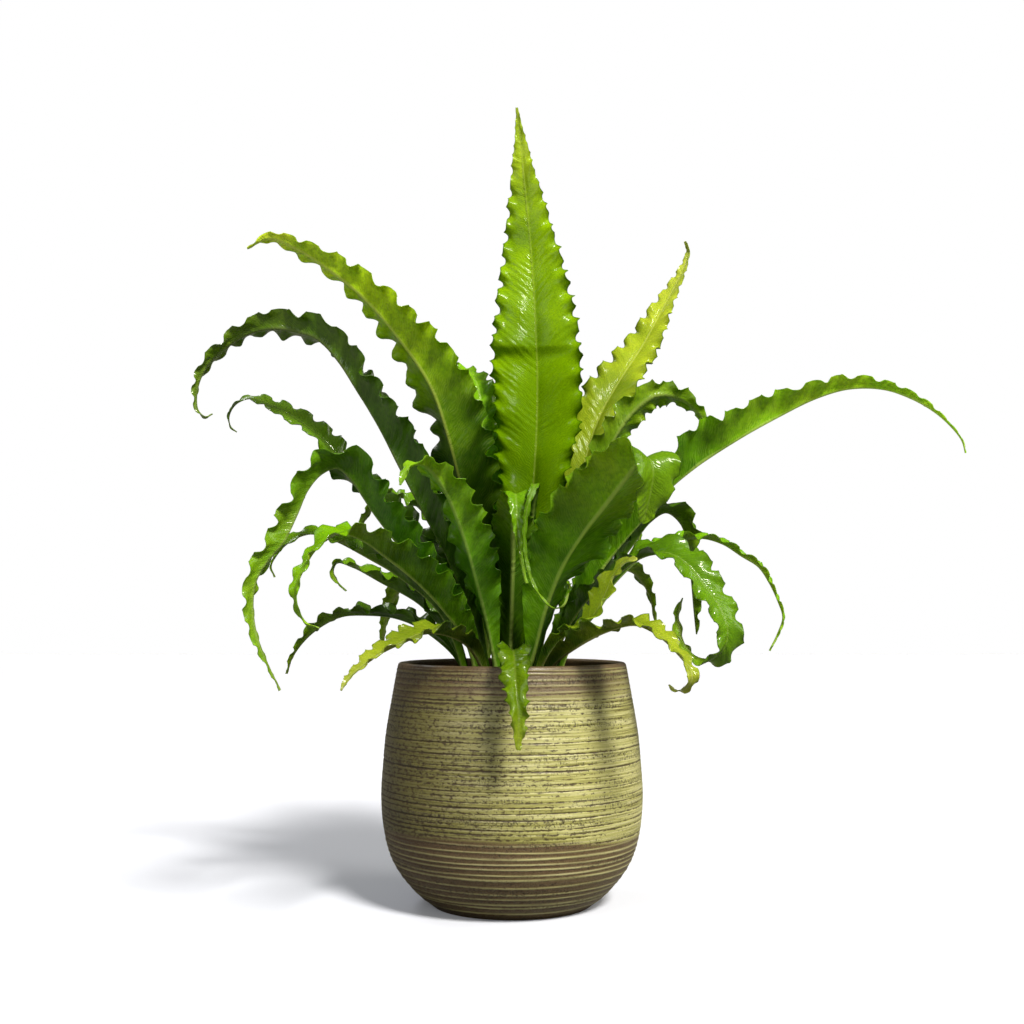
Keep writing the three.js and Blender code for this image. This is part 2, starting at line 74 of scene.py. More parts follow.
# Settings that make a Mix node mix colours and a Math node multiply.
RGBA = {"out": 2, "data_type": "RGBA"}
TIMES = {"operation": "MULTIPLY"}
TIMES_ADD = {"operation": "MULTIPLY_ADD"}
Array = np.ndarray
Piece = bpy.types.Object
Material = bpy.types.Material
Socket = bpy.types.NodeSocket
Draws = np.random.Generator
AddNode = Callable[..., Any]


class Tone(Enum):
    """The four greens of the plant, each with the record's slot for it."""

    LIME = "frond_lime"
    GREEN = "frond_green"
    DARK = "frond_dark"
    YELLOW = "frond_yellow"


@dataclass(frozen=True)
class FrondPlan:
    """One frond as the part's source states it, in millimetres and degrees.

    Its CAD node is called frond_ and its piece blade_ with this name. route holds points of the
    midrib: reach from the planter's axis, height and, where it leaves its upright plane, how far
    to its left. fold and twist are given at even steps from the root.
    The field for tint and painted shade, look and root_shade are for the looks alone: how light the
    upper and the lower face are against its tone, partly the frond's own tint and partly painted shade
    and painted light, and how waxy the frond is; the tone whose finish it wears, where that differs;
    and how much of that lightness is left at its root, painted shade where root_shade is below 1 and
    painted light where it is above. crease is a sharp fold across the blade, as its share of the
    length and its height.
    """

    name: str
    tone: Tone
    heading: float
    width: float
    belly: float
    tail: float
    wave: float
    fold: tuple[float, ...]
    route: tuple[tuple[float, ...], ...]
    twist: tuple[float, ...] = (0.0, 0.0)
    tint_and_painted_shade: tuple[float, float, float] = (1.0, 1.0, 1.0)
    look: Tone | None = None
    root_shade: float = 1.0
    crease: tuple[float, float] = (0.0, 0.0)


# The lightness of each frond below, and its fall towards the root, are partly its own tint and partly
# painted shade and painted light.
FRONDS: tuple[FrondPlan, ...] = (
    FrondPlan("tall_centre", Tone.LIME, heading=88, width=92, belly=0.55, tail=1.2, wave=6,
        fold=(55, 20, 8, 5, 8, 16), twist=(0, 0, 0, -4, -6, 0), tint_and_painted_shade=(0.96, 1.0, 0.55), root_shade=0.8,
        crease=(0.566, 6.5), route=((12, 217), (22, 290, -12), (38, 400, -20), (52, 490, -24),
        (62, 580, -22), (68, 655, -17), (70, 730, -10), (66, 804, -3))),
    FrondPlan("lean_left", Tone.LIME, heading=196, width=88, belly=0.42, tail=0.9, wave=6,
        fold=(55, 34, 24, 22, 24, 26), twist=(0, 4, 24, 30, 24, 16), tint_and_painted_shade=(1.2, 1.8, 1.0),
        root_shade=0.2, route=((12, 217), (26, 290), (39, 355), (59, 430), (79, 490), (109, 535),
        (144, 574), (178, 600), (210, 619), (238, 627), (258, 616))),
    FrondPlan("back_left", Tone.GREEN, heading=117, width=52, belly=0.5, tail=1.2, wave=5,
        fold=(55, 34, 26, 24, 24, 26), tint_and_painted_shade=(1.5, 1.5, 1.0), route=((22, 215), (40, 290), (53, 350),
        (60, 400), (64, 440), (70, 490), (86, 520), (112, 533), (146, 533), (174, 523), (190, 508))),
    FrondPlan("lime_right", Tone.LIME, heading=41, width=64, belly=0.48, tail=1.05, wave=5,
        fold=(55, 36, 20, 14, 14, 20), twist=(0, 6, 20, 28, 24, 10), tint_and_painted_shade=(1.3, 1.2, 0.4),
        look=Tone.YELLOW, root_shade=0.8, route=((22, 215), (52, 290), (80, 370), (103, 441), (124, 484),
        (154, 524), (189, 566), (219, 608), (243, 642), (258, 666), (262, 680), (257, 690))),
    FrondPlan("wide_right", Tone.DARK, heading=305, width=86, belly=0.55, tail=0.6, wave=5,
        fold=(45, 28, 22, 22, 18, 16), twist=(0, -4, -10, -12, -6, 0), tint_and_painted_shade=(0.74, 1.6, 0.8),
        look=Tone.GREEN, root_shade=1.5, route=((22, 215), (36, 238), (54, 278), (81, 319), (111, 347),
        (142, 370), (170, 391), (191, 406), (204, 407), (209, 395), (205, 377), (195, 352))),
    FrondPlan("curl_front", Tone.GREEN, heading=270, width=54, belly=0.4, tail=2.1, wave=4,
        fold=(50, 36, 24, 20, 20, 20), route=((12, 217, -2), (19, 250, -1), (29, 290, 0), (41, 326, 1),
        (56, 356, 1), (73, 378, 2), (87, 384, 3), (97, 374, 4), (101, 352, 5), (103, 326, 8),
        (106, 302, 13))),
    FrondPlan("tendril", Tone.YELLOW, heading=315, width=9, belly=0.4, tail=1.1, wave=0.6,
        fold=(30, 16, 8, 6, 8, 12), tint_and_painted_shade=(0.8, 0.9, 1.4), look=Tone.GREEN,
        route=((12, 216, 7.8), (14, 250, 7.1), (18, 290, 4.9), (26, 330, -2.1), (40, 362, -13.4),
        (57, 384, -27.6), (72, 393, -41.0), (83, 390, -54.4), (87, 376, -65.8), (87, 352, -71.4),
        (89, 328, -72.1), (95, 304, -70.0), (103, 288, -64.3), (109, 280, -56.6), (114, 283, -48.8),
        (115, 293, -44.5))),
    FrondPlan("arch_left", Tone.DARK, heading=184, width=74, belly=0.36, tail=1.0, wave=6.5,
        fold=(58, 47, 43, 36, 20, 16), twist=(0, 0, 4, 10, 22, 16), tint_and_painted_shade=(0.68, 0.72, 2.2),
        route=((22, 215), (42, 280), (64, 334), (86, 374), (110, 420), (129, 457), (149, 490), (169, 521),
        (190, 543), (208, 549), (232, 552), (256, 547), (277, 534), (294, 518), (303, 500), (306, 483),
        (304, 470), (297, 464), (290, 467))),
    FrondPlan("wisp_left", Tone.DARK, heading=168, width=52, belly=0.38, tail=0.9, wave=4,
        fold=(55, 44, 34, 22, 16, 14), twist=(0, 0, -8, -26, -34, -20), tint_and_painted_shade=(0.8, 0.8, 1.4),
        route=((32, 212), (54, 268), (82, 326), (112, 360), (145, 390), (182, 434), (207, 460),
        (231, 477), (255, 489), (275, 495), (291, 489), (298, 477), (296, 466), (289, 460))),
    FrondPlan("bent_left", Tone.DARK, heading=210, width=62, belly=0.42, tail=1.2, wave=5.5,
        fold=(55, 40, 30, 26, 24, 24), twist=(0, 0, 0, 30, 50, 30), tint_and_painted_shade=(1.15, 1.3, 1.4),
        route=((32, 212), (61, 278), (108, 325), (146, 368), (167, 396), (183, 408), (199, 402),
        (213, 386), (223, 363), (234, 340), (249, 322), (259, 305), (262, 283), (258, 256), (247, 230),
        (235, 208))),
    FrondPlan("front_left", Tone.GREEN, heading=224, width=60, belly=0.4, tail=1.3, wave=5,
        fold=(55, 36, 28, 26, 24, 24), tint_and_painted_shade=(1.2, 1.35, 1.0), route=((42, 209), (62, 252), (108, 296),
        (150, 323), (184, 341), (208, 345), (229, 334), (244, 316), (253, 295), (250, 278), (241, 267),
        (229, 263))),
    FrondPlan("under_left", Tone.GREEN, heading=189.5, width=48, belly=0.48, tail=1.3, wave=4,
        fold=(55, 40, 32, 22, 20, 20), twist=(0, 0, 0, -20, -24, -10), route=((42, 209), (70, 276),
        (109, 311), (143, 331), (171, 345), (195, 351), (213, 344), (226, 330), (231, 319), (227, 309))),
    FrondPlan("hook_left", Tone.DARK, heading=169, width=44, belly=0.42, tail=1.0, wave=4,
        fold=(55, 40, 34, 30, 30, 30), route=((42, 209), (62, 250), (91, 284), (131, 306), (160, 321),
        (178, 326), (183, 317), (177, 305), (168, 297))),
    FrondPlan("low_left", Tone.DARK, heading=157.5, width=42, belly=0.4, tail=1.0, wave=4,
        fold=(50, 36, 30, 30, 30, 30), route=((42, 209), (64, 236), (97, 260), (126, 271), (158, 274),
        (190, 272), (215, 261), (235, 245), (248, 228), (254, 212))),
    FrondPlan("lime_left", Tone.YELLOW, heading=238, width=38, belly=0.42, tail=1.0, wave=3,
        fold=(50, 36, 30, 26, 24, 24), tint_and_painted_shade=(0.85, 0.85, 1.0), route=((42, 209), (56, 228), (78, 246),
        (114, 257), (150, 258), (178, 251), (206, 243), (231, 233), (250, 223), (259, 214))),
    FrondPlan("drop_front", Tone.LIME, heading=268, width=27, belly=0.55, tail=0.8, wave=4,
        fold=(45, 30, 20, 14, 10, 10), tint_and_painted_shade=(0.52, 0.8, 1.2), route=((42, 209), (55, 224, 1),
        (82, 240, 3), (110, 242, 5), (134, 231, 7), (150, 210, 9), (158, 185, 11), (160, 160, 11))),
    FrondPlan("back_right", Tone.GREEN, heading=3, width=38, belly=0.62, tail=0.55, wave=4,
        fold=(55, 36, 20, 14, 14, 16), twist=(0, 0, -16, -44, -56, -40), route=((22, 215), (43, 299),
        (64, 366), (80, 410), (99, 445), (119, 473), (142, 489), (165, 488, 3), (182, 477, 3),
        (192, 463, 3))),
    FrondPlan("long_right", Tone.GREEN, heading=355, width=82, belly=0.42, tail=1.5, wave=5,
        fold=(55, 48, 46, 44, 40, 30), twist=(0, 0, -4, -6, -4, 0), tint_and_painted_shade=(1.8, 2.6, 0.7), root_shade=0.5,
        route=((32, 212), (62, 278), (94, 328), (126, 366), (150, 394), (182, 420), (221, 445),
        (259, 466), (292, 482), (325, 491), (357, 490), (383, 481), (404, 468), (420, 453), (430, 439),
        (433, 427))),
    FrondPlan("finger_right", Tone.DARK, heading=9.5, width=44, belly=0.56, tail=0.75, wave=4,
        fold=(55, 40, 34, 30, 30, 30), route=((42, 209), (64, 262), (90, 304), (118, 340), (138, 366),
        (156, 376), (172, 364), (179, 338), (182, 308), (184, 278), (186, 254))),
    FrondPlan("wisp_right", Tone.GREEN, heading=350, width=25, belly=0.4, tail=1.2, wave=3,
        fold=(50, 40, 34, 30, 30, 30), tint_and_painted_shade=(1.3, 1.8, 1.0), route=((42, 209), (59, 247), (86, 288),
        (115, 320), (136, 337), (159, 344), (182, 347), (203, 341), (221, 329), (236, 319), (246, 304),
        (254, 286), (258, 271), (253, 256), (245, 240))),
    FrondPlan("hoop_right", Tone.GREEN, heading=330.5, width=42, belly=0.4, tail=0.62, wave=4,
        fold=(50, 32, 20, 16, 16, 20), twist=(0, 4, 16, 24, 16, 0), tint_and_painted_shade=(0.85, 0.95, 1.2),
        route=((42, 209), (53, 248), (79, 286), (112, 312), (139, 328), (164, 330), (183, 319),
        (199, 300), (213, 281), (220, 261), (217, 245), (206, 235), (194, 234), (181, 242), (174, 257),
        (172, 274), (177, 289))),
    FrondPlan("low_right", Tone.YELLOW, heading=308, width=40, belly=0.36, tail=1.0, wave=4,
        fold=(50, 34, 28, 24, 22, 20), route=((42, 209), (65, 229), (98, 246), (133, 259), (172, 266),
        (194, 261), (212, 252), (228, 240), (239, 230), (241, 221), (232, 212), (221, 211), (214, 215))),
    FrondPlan("twist_right", Tone.YELLOW, heading=312.5, width=40, belly=0.6, tail=0.8, wave=4,
        fold=(50, 30, 24, 24, 24, 24), twist=(0, 0, 16, 46, 50, 30), tint_and_painted_shade=(2.0, 2.4, 1.0),
        route=((32, 212), (47, 232), (68, 252), (100, 266), (117, 282), (126, 296), (134, 310),
        (149, 321), (163, 323))),
    FrondPlan("inner_left", Tone.DARK, heading=233, width=53, belly=0.55, tail=1.0, wave=5,
        fold=(55, 40, 30, 26, 24, 24), tint_and_painted_shade=(1.5, 1.7, 1.2), route=((22, 215), (40, 268), (60, 318),
        (82, 360), (106, 392), (132, 408), (152, 404), (164, 388))),
    FrondPlan("rear_tall", Tone.GREEN, heading=82, width=62, belly=0.45, tail=1.2, wave=5,
        fold=(55, 40, 30, 26, 24, 24), route=((32, 212), (53, 290), (75, 370), (99, 440), (130, 500),
        (166, 540), (206, 560), (244, 558), (272, 539), (286, 512))),
    FrondPlan("rear_mid_right", Tone.GREEN, heading=57, width=54, belly=0.42, tail=1.2, wave=5,
        fold=(55, 40, 32, 28, 26, 26), route=((32, 212), (63, 280), (95, 340), (129, 388), (166, 416),
        (204, 420), (238, 404), (262, 374), (272, 340))),
    FrondPlan("rear_mid_left", Tone.DARK, heading=105, width=52, belly=0.42, tail=1.2, wave=5,
        fold=(55, 40, 32, 28, 26, 26), route=((32, 212), (60, 280), (90, 345), (124, 400), (164, 434),
        (208, 444), (248, 430), (276, 400), (290, 362))),
    FrondPlan("rear_side_left", Tone.DARK, heading=136, width=44, belly=0.42, tail=1.2, wave=5,
        fold=(55, 40, 32, 28, 26, 26), route=((32, 212), (60, 270), (90, 332), (122, 376), (158, 398),
        (194, 398), (224, 378), (240, 346))),
    FrondPlan("rear_low_left", Tone.GREEN, heading=127, width=46, belly=0.42, tail=1.1, wave=4,
        fold=(50, 36, 30, 26, 26, 26), route=((42, 209), (66, 248), (100, 286), (138, 308), (178, 312),
        (212, 296), (234, 266), (242, 234))),
    FrondPlan("rear_low", Tone.GREEN, heading=97, width=44, belly=0.42, tail=1.1, wave=4,
        fold=(50, 36, 30, 26, 26, 26), route=((42, 209), (64, 240), (98, 272), (138, 290), (180, 286),
        (214, 262), (232, 228), (236, 196))),
    FrondPlan("rear_low_right", Tone.LIME, heading=72.5, width=42, belly=0.42, tail=1.1, wave=4,
        fold=(50, 36, 30, 26, 26, 26), route=((42, 209), (66, 246), (100, 280), (140, 300), (178, 300),
        (208, 280), (226, 250))),
    FrondPlan("rear_side_right", Tone.GREEN, heading=42, width=44, belly=0.42, tail=1.1, wave=4,
        fold=(50, 36, 30, 26, 26, 26), route=((42, 209), (68, 250), (102, 292), (140, 318), (174, 318),
        (198, 296), (208, 264))),
)


def linear_colour(code: str) -> tuple[float, float, float, float]:
    """Turn an sRGB hex colour into linear values.

    Args:
        code: Six hex digits, such as "8fb80a".

    Returns:
        Red, green, blue and alpha for a colour socket.
    """
    parts = [int(code[i:i + 2], 16) / 255 for i in (0, 2, 4)]
    light = [p / 12.92 if p <= 0.04045 else ((p + 0.055) / 1.055) ** 2.4 for p in parts]
    return light[0], light[1], light[2], 1.0


def add_node(
    tree: bpy.types.NodeTree,
    kind: str,
    inputs: Sequence[Any] | dict[str | int, Any] = (),
    out: int | str | None = 0,
    stops: Sequence[tuple[float, str]] = (),
    **settings: Any,
) -> Any:
    """Add a node with its settings, its values and its links.

    Args:
        tree: The node tree.
        kind: The node's type, without its prefix.
        inputs: Values, hex colours or outputs to link, in order or by name.
        out: The output to return, or None for the node.
        stops: Places and hex colours of a colour ramp.
        **settings: The node's own properties.

    Returns:
        The output, or the node.
    """
    node = tree.nodes.new("ShaderNode" + kind)
    for name, value in settings.items():
        setattr(node, name, value)
    for place, (position, colour) in enumerate(stops):
        if place > 1:
            node.color_ramp.elements.new(position)
        node.color_ramp.elements[place].position = position
        node.color_ramp.elements[place].color = linear_colour(colour)
    for key, value in inputs.items() if isinstance(inputs, dict) else enumerate(inputs):
        if isinstance(value, Socket):
            tree.links.new(value, node.inputs[key])
        else:
            node.inputs[key].default_value = linear_colour(value) if isinstance(value, str) else value
    return node if out is None else node.outputs[out]


def new_material(name: str) -> tuple[Material, AddNode]:
    """Make an empty node material.

    Args:
        name: What the real material is.

    Returns:
        The material, and add_node for its tree.
    """
    material = bpy.data.materials.new(name)
    material.use_nodes = True
    material.node_tree.nodes.clear()
    return material, partial(add_node, material.node_tree)


def smooth(value: Array | float) -> Array:
    """Ease a value from 0 to 1."""
    x = np.clip(value, 0.0, 1.0)
    return x * x * (3 - 2 * x)


def along(values: Sequence[float], share: Array) -> Array:
    """Read a smooth curve through values at even steps.

    Args:
        values: The values.
        share: Where to read, from 0 to 1.

    Returns:
        The curve's values.
    """
    table = np.asarray(values, float)
    last = len(table) - 1
    place = np.clip(share, 0, 1) * last
    i = np.minimum(np.floor(place).astype(int), last - 1)
    f = place - i
    a, b, c, d = (table[np.clip(i + step, 0, last)] for step in (-1, 0, 1, 2))
    return b + 0.5 * f * (c - a + f * (2 * a - 5 * b + 4 * c - d + f * (3 * (b - c) + d - a)))


def unit(vectors: Array) -> Array:
    """Scale vectors to length 1."""
    return vectors / np.maximum(np.linalg.norm(vectors, axis=-1, keepdims=True), 1e-12)


def wobble(angle: Array, rng: Draws, waves: Sequence[int]) -> Array:
    """Average a few sine waves round a circle.

    Args:
        angle: Angles in radians.
        rng: Seeded source of the phases.
        waves: How many times each sine repeats in a turn.

    Returns:
        Values of about -1 to 1.
    """
    return sum(np.sin(count * angle + rng.uniform(0, TURN)) for count in waves) / len(waves)


def join_to(piece: Piece, bits: Sequence[Piece]) -> Piece:
    """Join small pieces to a larger one.

    Args:
        piece: The piece that stays.
        bits: The pieces that become part of it.

    Returns:
        The larger piece.
    """
    bpy.ops.object.select_all(action="DESELECT")
    for each in (piece, *bits):
        each.select_set(True)
    bpy.context.view_layer.objects.active = piece
    bpy.ops.object.join()
    return piece


def grid_piece(name: str, faces: Array, fields: dict[str, Array], merge: float, crisp: float) -> Piece:
    """Add a grid, bend it, store what its material reads, close it and shade it.

    Args:
        name: The piece's name.
        faces: Rows of points in metres, for one face or for an upper and a lower one.
        fields: Vectors by name, one for each of these points.
        merge: Distance below which vertices are merged, in metres.
        crisp: Edges sharper than this many degrees stay crisp.

    Returns:
        The piece, with its faces outwards.
    """
    rows, columns = faces.shape[1:3]
    bpy.ops.object.select_all(action="DESELECT")
    bpy.ops.mesh.primitive_grid_add(x_subdivisions=columns - 1, y_subdivisions=rows - 1, size=2)
    piece = bpy.context.object
    piece.name = name
    mesh = piece.data
    mesh.name = name
    if len(faces) > 1:
        shell = piece.modifiers.new("blade_thickness", "SOLIDIFY")
        shell.thickness = SHELL
        shell.offset = -1
        bpy.ops.object.modifier_apply(modifier=shell.name)
    spots = np.empty(len(mesh.vertices) * 3)
    mesh.vertices.foreach_get("co", spots)
    x, y, z = spots.reshape(-1, 3).T
    place = ((z < -SHELL / 2).astype(int), np.rint((y + 1) / 2 * (rows - 1)).astype(int),
             np.rint((x + 1) / 2 * (columns - 1)).astype(int))
    mesh.vertices.foreach_set("co", faces[place].astype(np.float32).ravel())
    mesh.update()
    for field_name, values in fields.items():
        layer = mesh.attributes.new(field_name, "FLOAT_VECTOR", "POINT")
        layer.data.foreach_set("vector", values[place].astype(np.float32).ravel())
    bpy.ops.object.mode_set(mode="EDIT")
    bpy.ops.mesh.select_all(action="SELECT")
    if merge > 0:
        bpy.ops.mesh.remove_doubles(threshold=merge)
        bpy.ops.mesh.select_all(action="SELECT")
    bpy.ops.mesh.normals_make_consistent(inside=False)
    bpy.ops.object.mode_set(mode="OBJECT")
    bpy.ops.object.shade_smooth_by_angle(angle=math.radians(crisp))
    return piece


def rings(profile: Sequence[tuple[float, float]], sides: int) -> tuple[Array, Array, Array]:
    """Repeat a profile round the axis.

    Args:
        profile: Radius and height of each point.
        sides: Steps in a turn.

    Returns:
        The angles, and the radius and height of each point at each angle.
    """
    radius, height = np.repeat(np.array(profile).T[:, :, None], sides + 1, axis=2)
    return np.linspace(0, TURN, sides + 1), radius, height


def turned_points(angle: Array, radius: Array, height: Array) -> Array:
    """Give the points of a turned piece as one face in metres."""
    return np.stack([radius * np.cos(angle), radius * np.sin(angle), height], axis=2)[None] * MM


def settle(piece: Piece, material: Material, node: str) -> None:
    """Give a piece its finish and its body, and hide the CAD node that it stands for.

    Args:
        piece: The finished piece.
        material: Its material.
        node: The CAD node that it replaces.
    """
    piece.data.materials.clear()
    piece.data.materials.append(material)
    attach(piece, "root")
    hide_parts(node)
    triangles = sum(len(polygon.vertices) - 2 for polygon in piece.data.polygons)
    LOG.info("%s: %d triangles", piece.name, triangles)


@dataclass(frozen=True)
class Mottle:
    """Uneven spots of one colour over another.

    scale is how many spots lie in a metre. They start to show where the noise passes low, and
    show as strongly as most from where it passes high.
    """

    scale: float
    colour: str
    low: float
    high: float
    most: float
    detail: float = 2.0
    roughness: float = 0.5

    def over(self, add: AddNode, ground: Socket, spot: Socket) -> Socket:
        """Lay the spots over a ground.

        Args:
            add: Adds a node to the material.
            ground: The colour below.
            spot: Object coordinates.

        Returns:
            The mottled colour.
        """
        noise = add("TexNoise", {
            "Vector": spot, "Scale": self.scale, "Detail": self.detail, "Roughness": self.roughness})
        share = add("MapRange", (noise, self.low, self.high, 0.0, self.most))
        return add("Mix", {0: share, 6: ground, 7: self.colour}, **RGBA)


@dataclass(frozen=True)
class LeafFace:
    """One face of a blade: its colours from root to tip, its spots, its veins and its midrib."""

    ages: tuple[tuple[float, str], ...]
    mottles: tuple[Mottle, ...]
    vein: str
    vein_share: float
    rib: str
    rib_share: float
    rib_reach_mm: float

    def colour(self, add: AddNode, spot: Socket, age: Socket, beside: Socket, veins: Socket) -> Socket:
        """Colour the face.

        Args:
            add: Adds a node to the material.
            spot: Object coordinates.
            age: Share of the blade's length.
            beside: Distance from the midrib, in metres.
            veins: A value of 1 on a side vein.

        Returns:
            The colour.
        """
        # From a dark root to a light tip: partly the blade's own colour, partly painted shade at the root
        # among the stalks and painted light towards the tip.
        colour = add("ValToRGB", (age,), stops=self.ages)
        for mottle in self.mottles:
            colour = mottle.over(add, colour, spot)
        vein_share = add("Math", (veins, self.vein_share), **TIMES)
        veined = add("Mix", {0: vein_share, 6: colour, 7: self.vein}, **RGBA)
        reach = self.rib_reach_mm * MM
        rib_share = add("MapRange", (beside, 0.3 * reach, reach, self.rib_share, 0.0))
        return add("Mix", {0: rib_share, 6: veined, 7: self.rib}, **RGBA)


@dataclass(frozen=True)
class LeafFinish:
    """Living fern blade: a waxy cuticle over soft green tissue that lets some light through.

    The wax gives small white highlights, the tissue its saturated, slightly uneven green. The
    lower face is duller and paler, with a pale midrib.
    """

    tone: Tone
    deep: str
    body: str
    lit: str
    tip: str
    under: str
    rib: str
    patch_mm: float = 38.0
    vein_mm: float = 2.9
    vein_height_mm: float = 0.3
    grain_mm: float = 1.5
    speck_mm: float = 4.2
    fold_mm: float = 9.0
    fold_height_mm: float = 0.2
    roughness: float = 0.42
    wax: float = 0.5
    under_wax: float = 0.3
    gloss: float = 0.12

    def make(self) -> Material:
        """Build the material for blades of this tone.

        Returns:
            The material, which reads a blade's fields for its place, its veins and its tint and painted
            shade.
        """
        material, add = new_material("living_leaf_" + self.tone.name.lower())
        # The upper and the lower face's lightness, partly own tint and partly painted shade and painted
        # light, and how waxy the frond is.
        (across, age, face), (aside, _, vein), (light, dark, waxy) = (
            add("SeparateXYZ", (add("Attribute", out="Vector", attribute_name=name),), None).outputs
            for name in ("blade", "run", "tint_and_painted_shade"))
        spot = add("TexCoord", out="Object")
        width = add("Math", (across,), operation="ABSOLUTE")
        beside = add("Math", (aside,), operation="ABSOLUTE")
        veins, normal = self.relief(add, spot, width, vein)
        upper, lower = (side.colour(add, spot, age, beside, veins) for side in self.sides())
        edge = add("MapRange", (width, 0.94, 1.0, 0.0, 0.75))
        edged = add("Mix", {0: edge, 6: upper, 7: self.deep}, **RGBA)
        # Each face's colour is multiplied by its lightness: painted shade and painted light over the
        # frond's own tint.
        lit, shaded = (add("Mix", {0: 1.0, 6: colour, 7: tint_and_painted_shade}, blend_type="MULTIPLY", **RGBA)
                       for colour, tint_and_painted_shade in ((edged, light), (lower, dark)))
        is_upper = add("MapRange", (face, -0.4, 0.4, 0.0, 1.0))
        wax = add("MapRange", (is_upper, 0.0, 1.0, self.under_wax, self.wax))
        shader = add("BsdfPrincipled", {
            "Base Color": add("Mix", {0: is_upper, 6: shaded, 7: lit}, **RGBA),
            "Roughness": self.roughness, "Normal": normal, "IOR": 1.45,
            "Specular IOR Level": add("Math", (waxy, self.gloss), **TIMES),
            "Subsurface Weight": 0.16, "Subsurface Radius": (0.7, 1.0, 0.15),
            "Subsurface Scale": 0.0016, "Coat Weight": add("Math", (wax, waxy), **TIMES),
            "Coat Roughness": 0.14, "Coat IOR": 1.45, "Coat Normal": normal})
        add("OutputMaterial", (shader,), None)
        return material

    def sides(self) -> tuple[LeafFace, LeafFace]:
        """Describe the lively upper face and the duller, mottled lower one.

        Returns:
            The upper and the lower face.
        """
        patches = 1 / (self.patch_mm * MM)
        # Both faces darken towards the root, partly own colour and partly painted shade; the lower face
        # stays deep for almost half its length.
        upper = LeafFace(
            ages=((0.02, self.deep), (0.42, self.body), (0.78, self.lit), (1.0, self.tip)),
            mottles=(
                Mottle(patches, self.body, low=0.35, high=0.68, most=0.5, detail=3.0, roughness=0.55),
                Mottle(14.0, self.deep, low=0.5, high=0.72, most=0.5),
                Mottle(1 / (self.grain_mm * MM), self.deep, low=0.35, high=0.7, most=0.36)),
            vein=self.lit, vein_share=0.2, rib=self.rib, rib_share=0.3, rib_reach_mm=1.3)
        lower = LeafFace(
            ages=((0.46, self.deep), (0.76, self.under), (1.0, self.tip)),
            mottles=(
                Mottle(patches, self.body, low=0.4, high=0.65, most=0.6, detail=4.0),
                Mottle(1 / (self.speck_mm * MM), self.deep, low=0.4, high=0.7, most=0.5, detail=3.0,
                       roughness=0.7)),
            vein=self.rib, vein_share=0.14, rib=self.rib, rib_share=0.8, rib_reach_mm=2.1)
        return upper, lower

    def relief(self, add: AddNode, spot: Socket, width: Socket, vein: Socket) -> tuple[Socket, Socket]:
        """Draw the side veins, and raise them with the grain and soft folds that follow them.

        The veins leave the midrib at about 50 degrees towards the tip.

        Args:
            add: Adds a node to the material.
            spot: Object coordinates.
            width: Share of the way to the margin.
            vein: Where each vein starts, in metres.

        Returns:
            A value of 1 on a vein and 0 between two of them, and the normal.
        """
        pore_scale = 1 / (2.2 * self.grain_mm * MM)
        drift, faint, pores, sway, calm = (
            add("TexNoise", {"Vector": spot, "Scale": scale, "Detail": detail})
            for scale, detail in ((90.0, 2.0), (110.0, 1.0), (pore_scale, 3.0), (24.0, 1.0), (40.0, 1.0)))
        count = add("Math", (vein, 1 / (self.vein_mm * MM)), **TIMES)
        bent = add("Math", (drift, 4.0, count), **TIMES_ADD)
        zigzag = add("Math", (bent, 0.5), operation="PINGPONG")
        full = add("MapRange", (zigzag, 0.0, 0.42, 1.0, 0.0), interpolation_type="SMOOTHSTEP")
        presence = add("MapRange", (faint, 0.35, 0.65, 0.25, 1.0))
        veins = add("Math", (full, presence), **TIMES)
        fade = add("MapRange", (width, 0.1, 0.75, 1.0, 0.25))
        raised = add("Math", (veins, fade), **TIMES)
        height = add("Math", (pores, 1.1, raised), **TIMES_ADD)
        fine = add("Bump", {"Height": height, "Strength": 0.6, "Distance": self.vein_height_mm * MM})
        turn = add("Math", (vein, TURN / (self.fold_mm * MM)), **TIMES)
        swayed = add("Math", (sway, 14.0, turn), **TIMES_ADD)
        wave = add("Math", (swayed,), operation="SINE")
        force = add("MapRange", (calm, 0.4, 0.6, 0.15, 1.0))
        folds = add("Math", (wave, force), **TIMES)
        return veins, add("Bump", {
            "Height": folds, "Strength": 1.0, "Distance": self.fold_height_mm * MM, "Normal": fine})


LEAF_FINISHES = (
    LeafFinish(Tone.LIME, deep="2e5602", body="6a9402", lit="9ac602", tip="c4d838", under="92b004",
               rib="a4b450"),
    LeafFinish(Tone.GREEN, deep="2a5002", body="629402", lit="72a606", tip="86b414", under="7c9c14",
               rib="90a850"),
    LeafFinish(Tone.DARK, deep="2c5404", body="5e9006", lit="6e9c0a", tip="80a41c", under="6c9010",
               rib="7c9448"),
    LeafFinish(Tone.YELLOW, deep="2f5606", body="849a1c", lit="a8b82a", tip="bec650", under="96a632",
               rib="b8c074"),
)


@dataclass(frozen=True)
class Margin:
    """What was drawn for one margin of a blade.

    lifts, teeth, bold, hook and shift hold a value for each crest and trough, heave and drift
    one for each loose swell along the blade, and crimps one for each tight one.
    """

    lifts: Array
    teeth: Array
    heave: Array
    drift: Array
    crimps: Array
    bold: Array
    hook: Array
    shift: Array


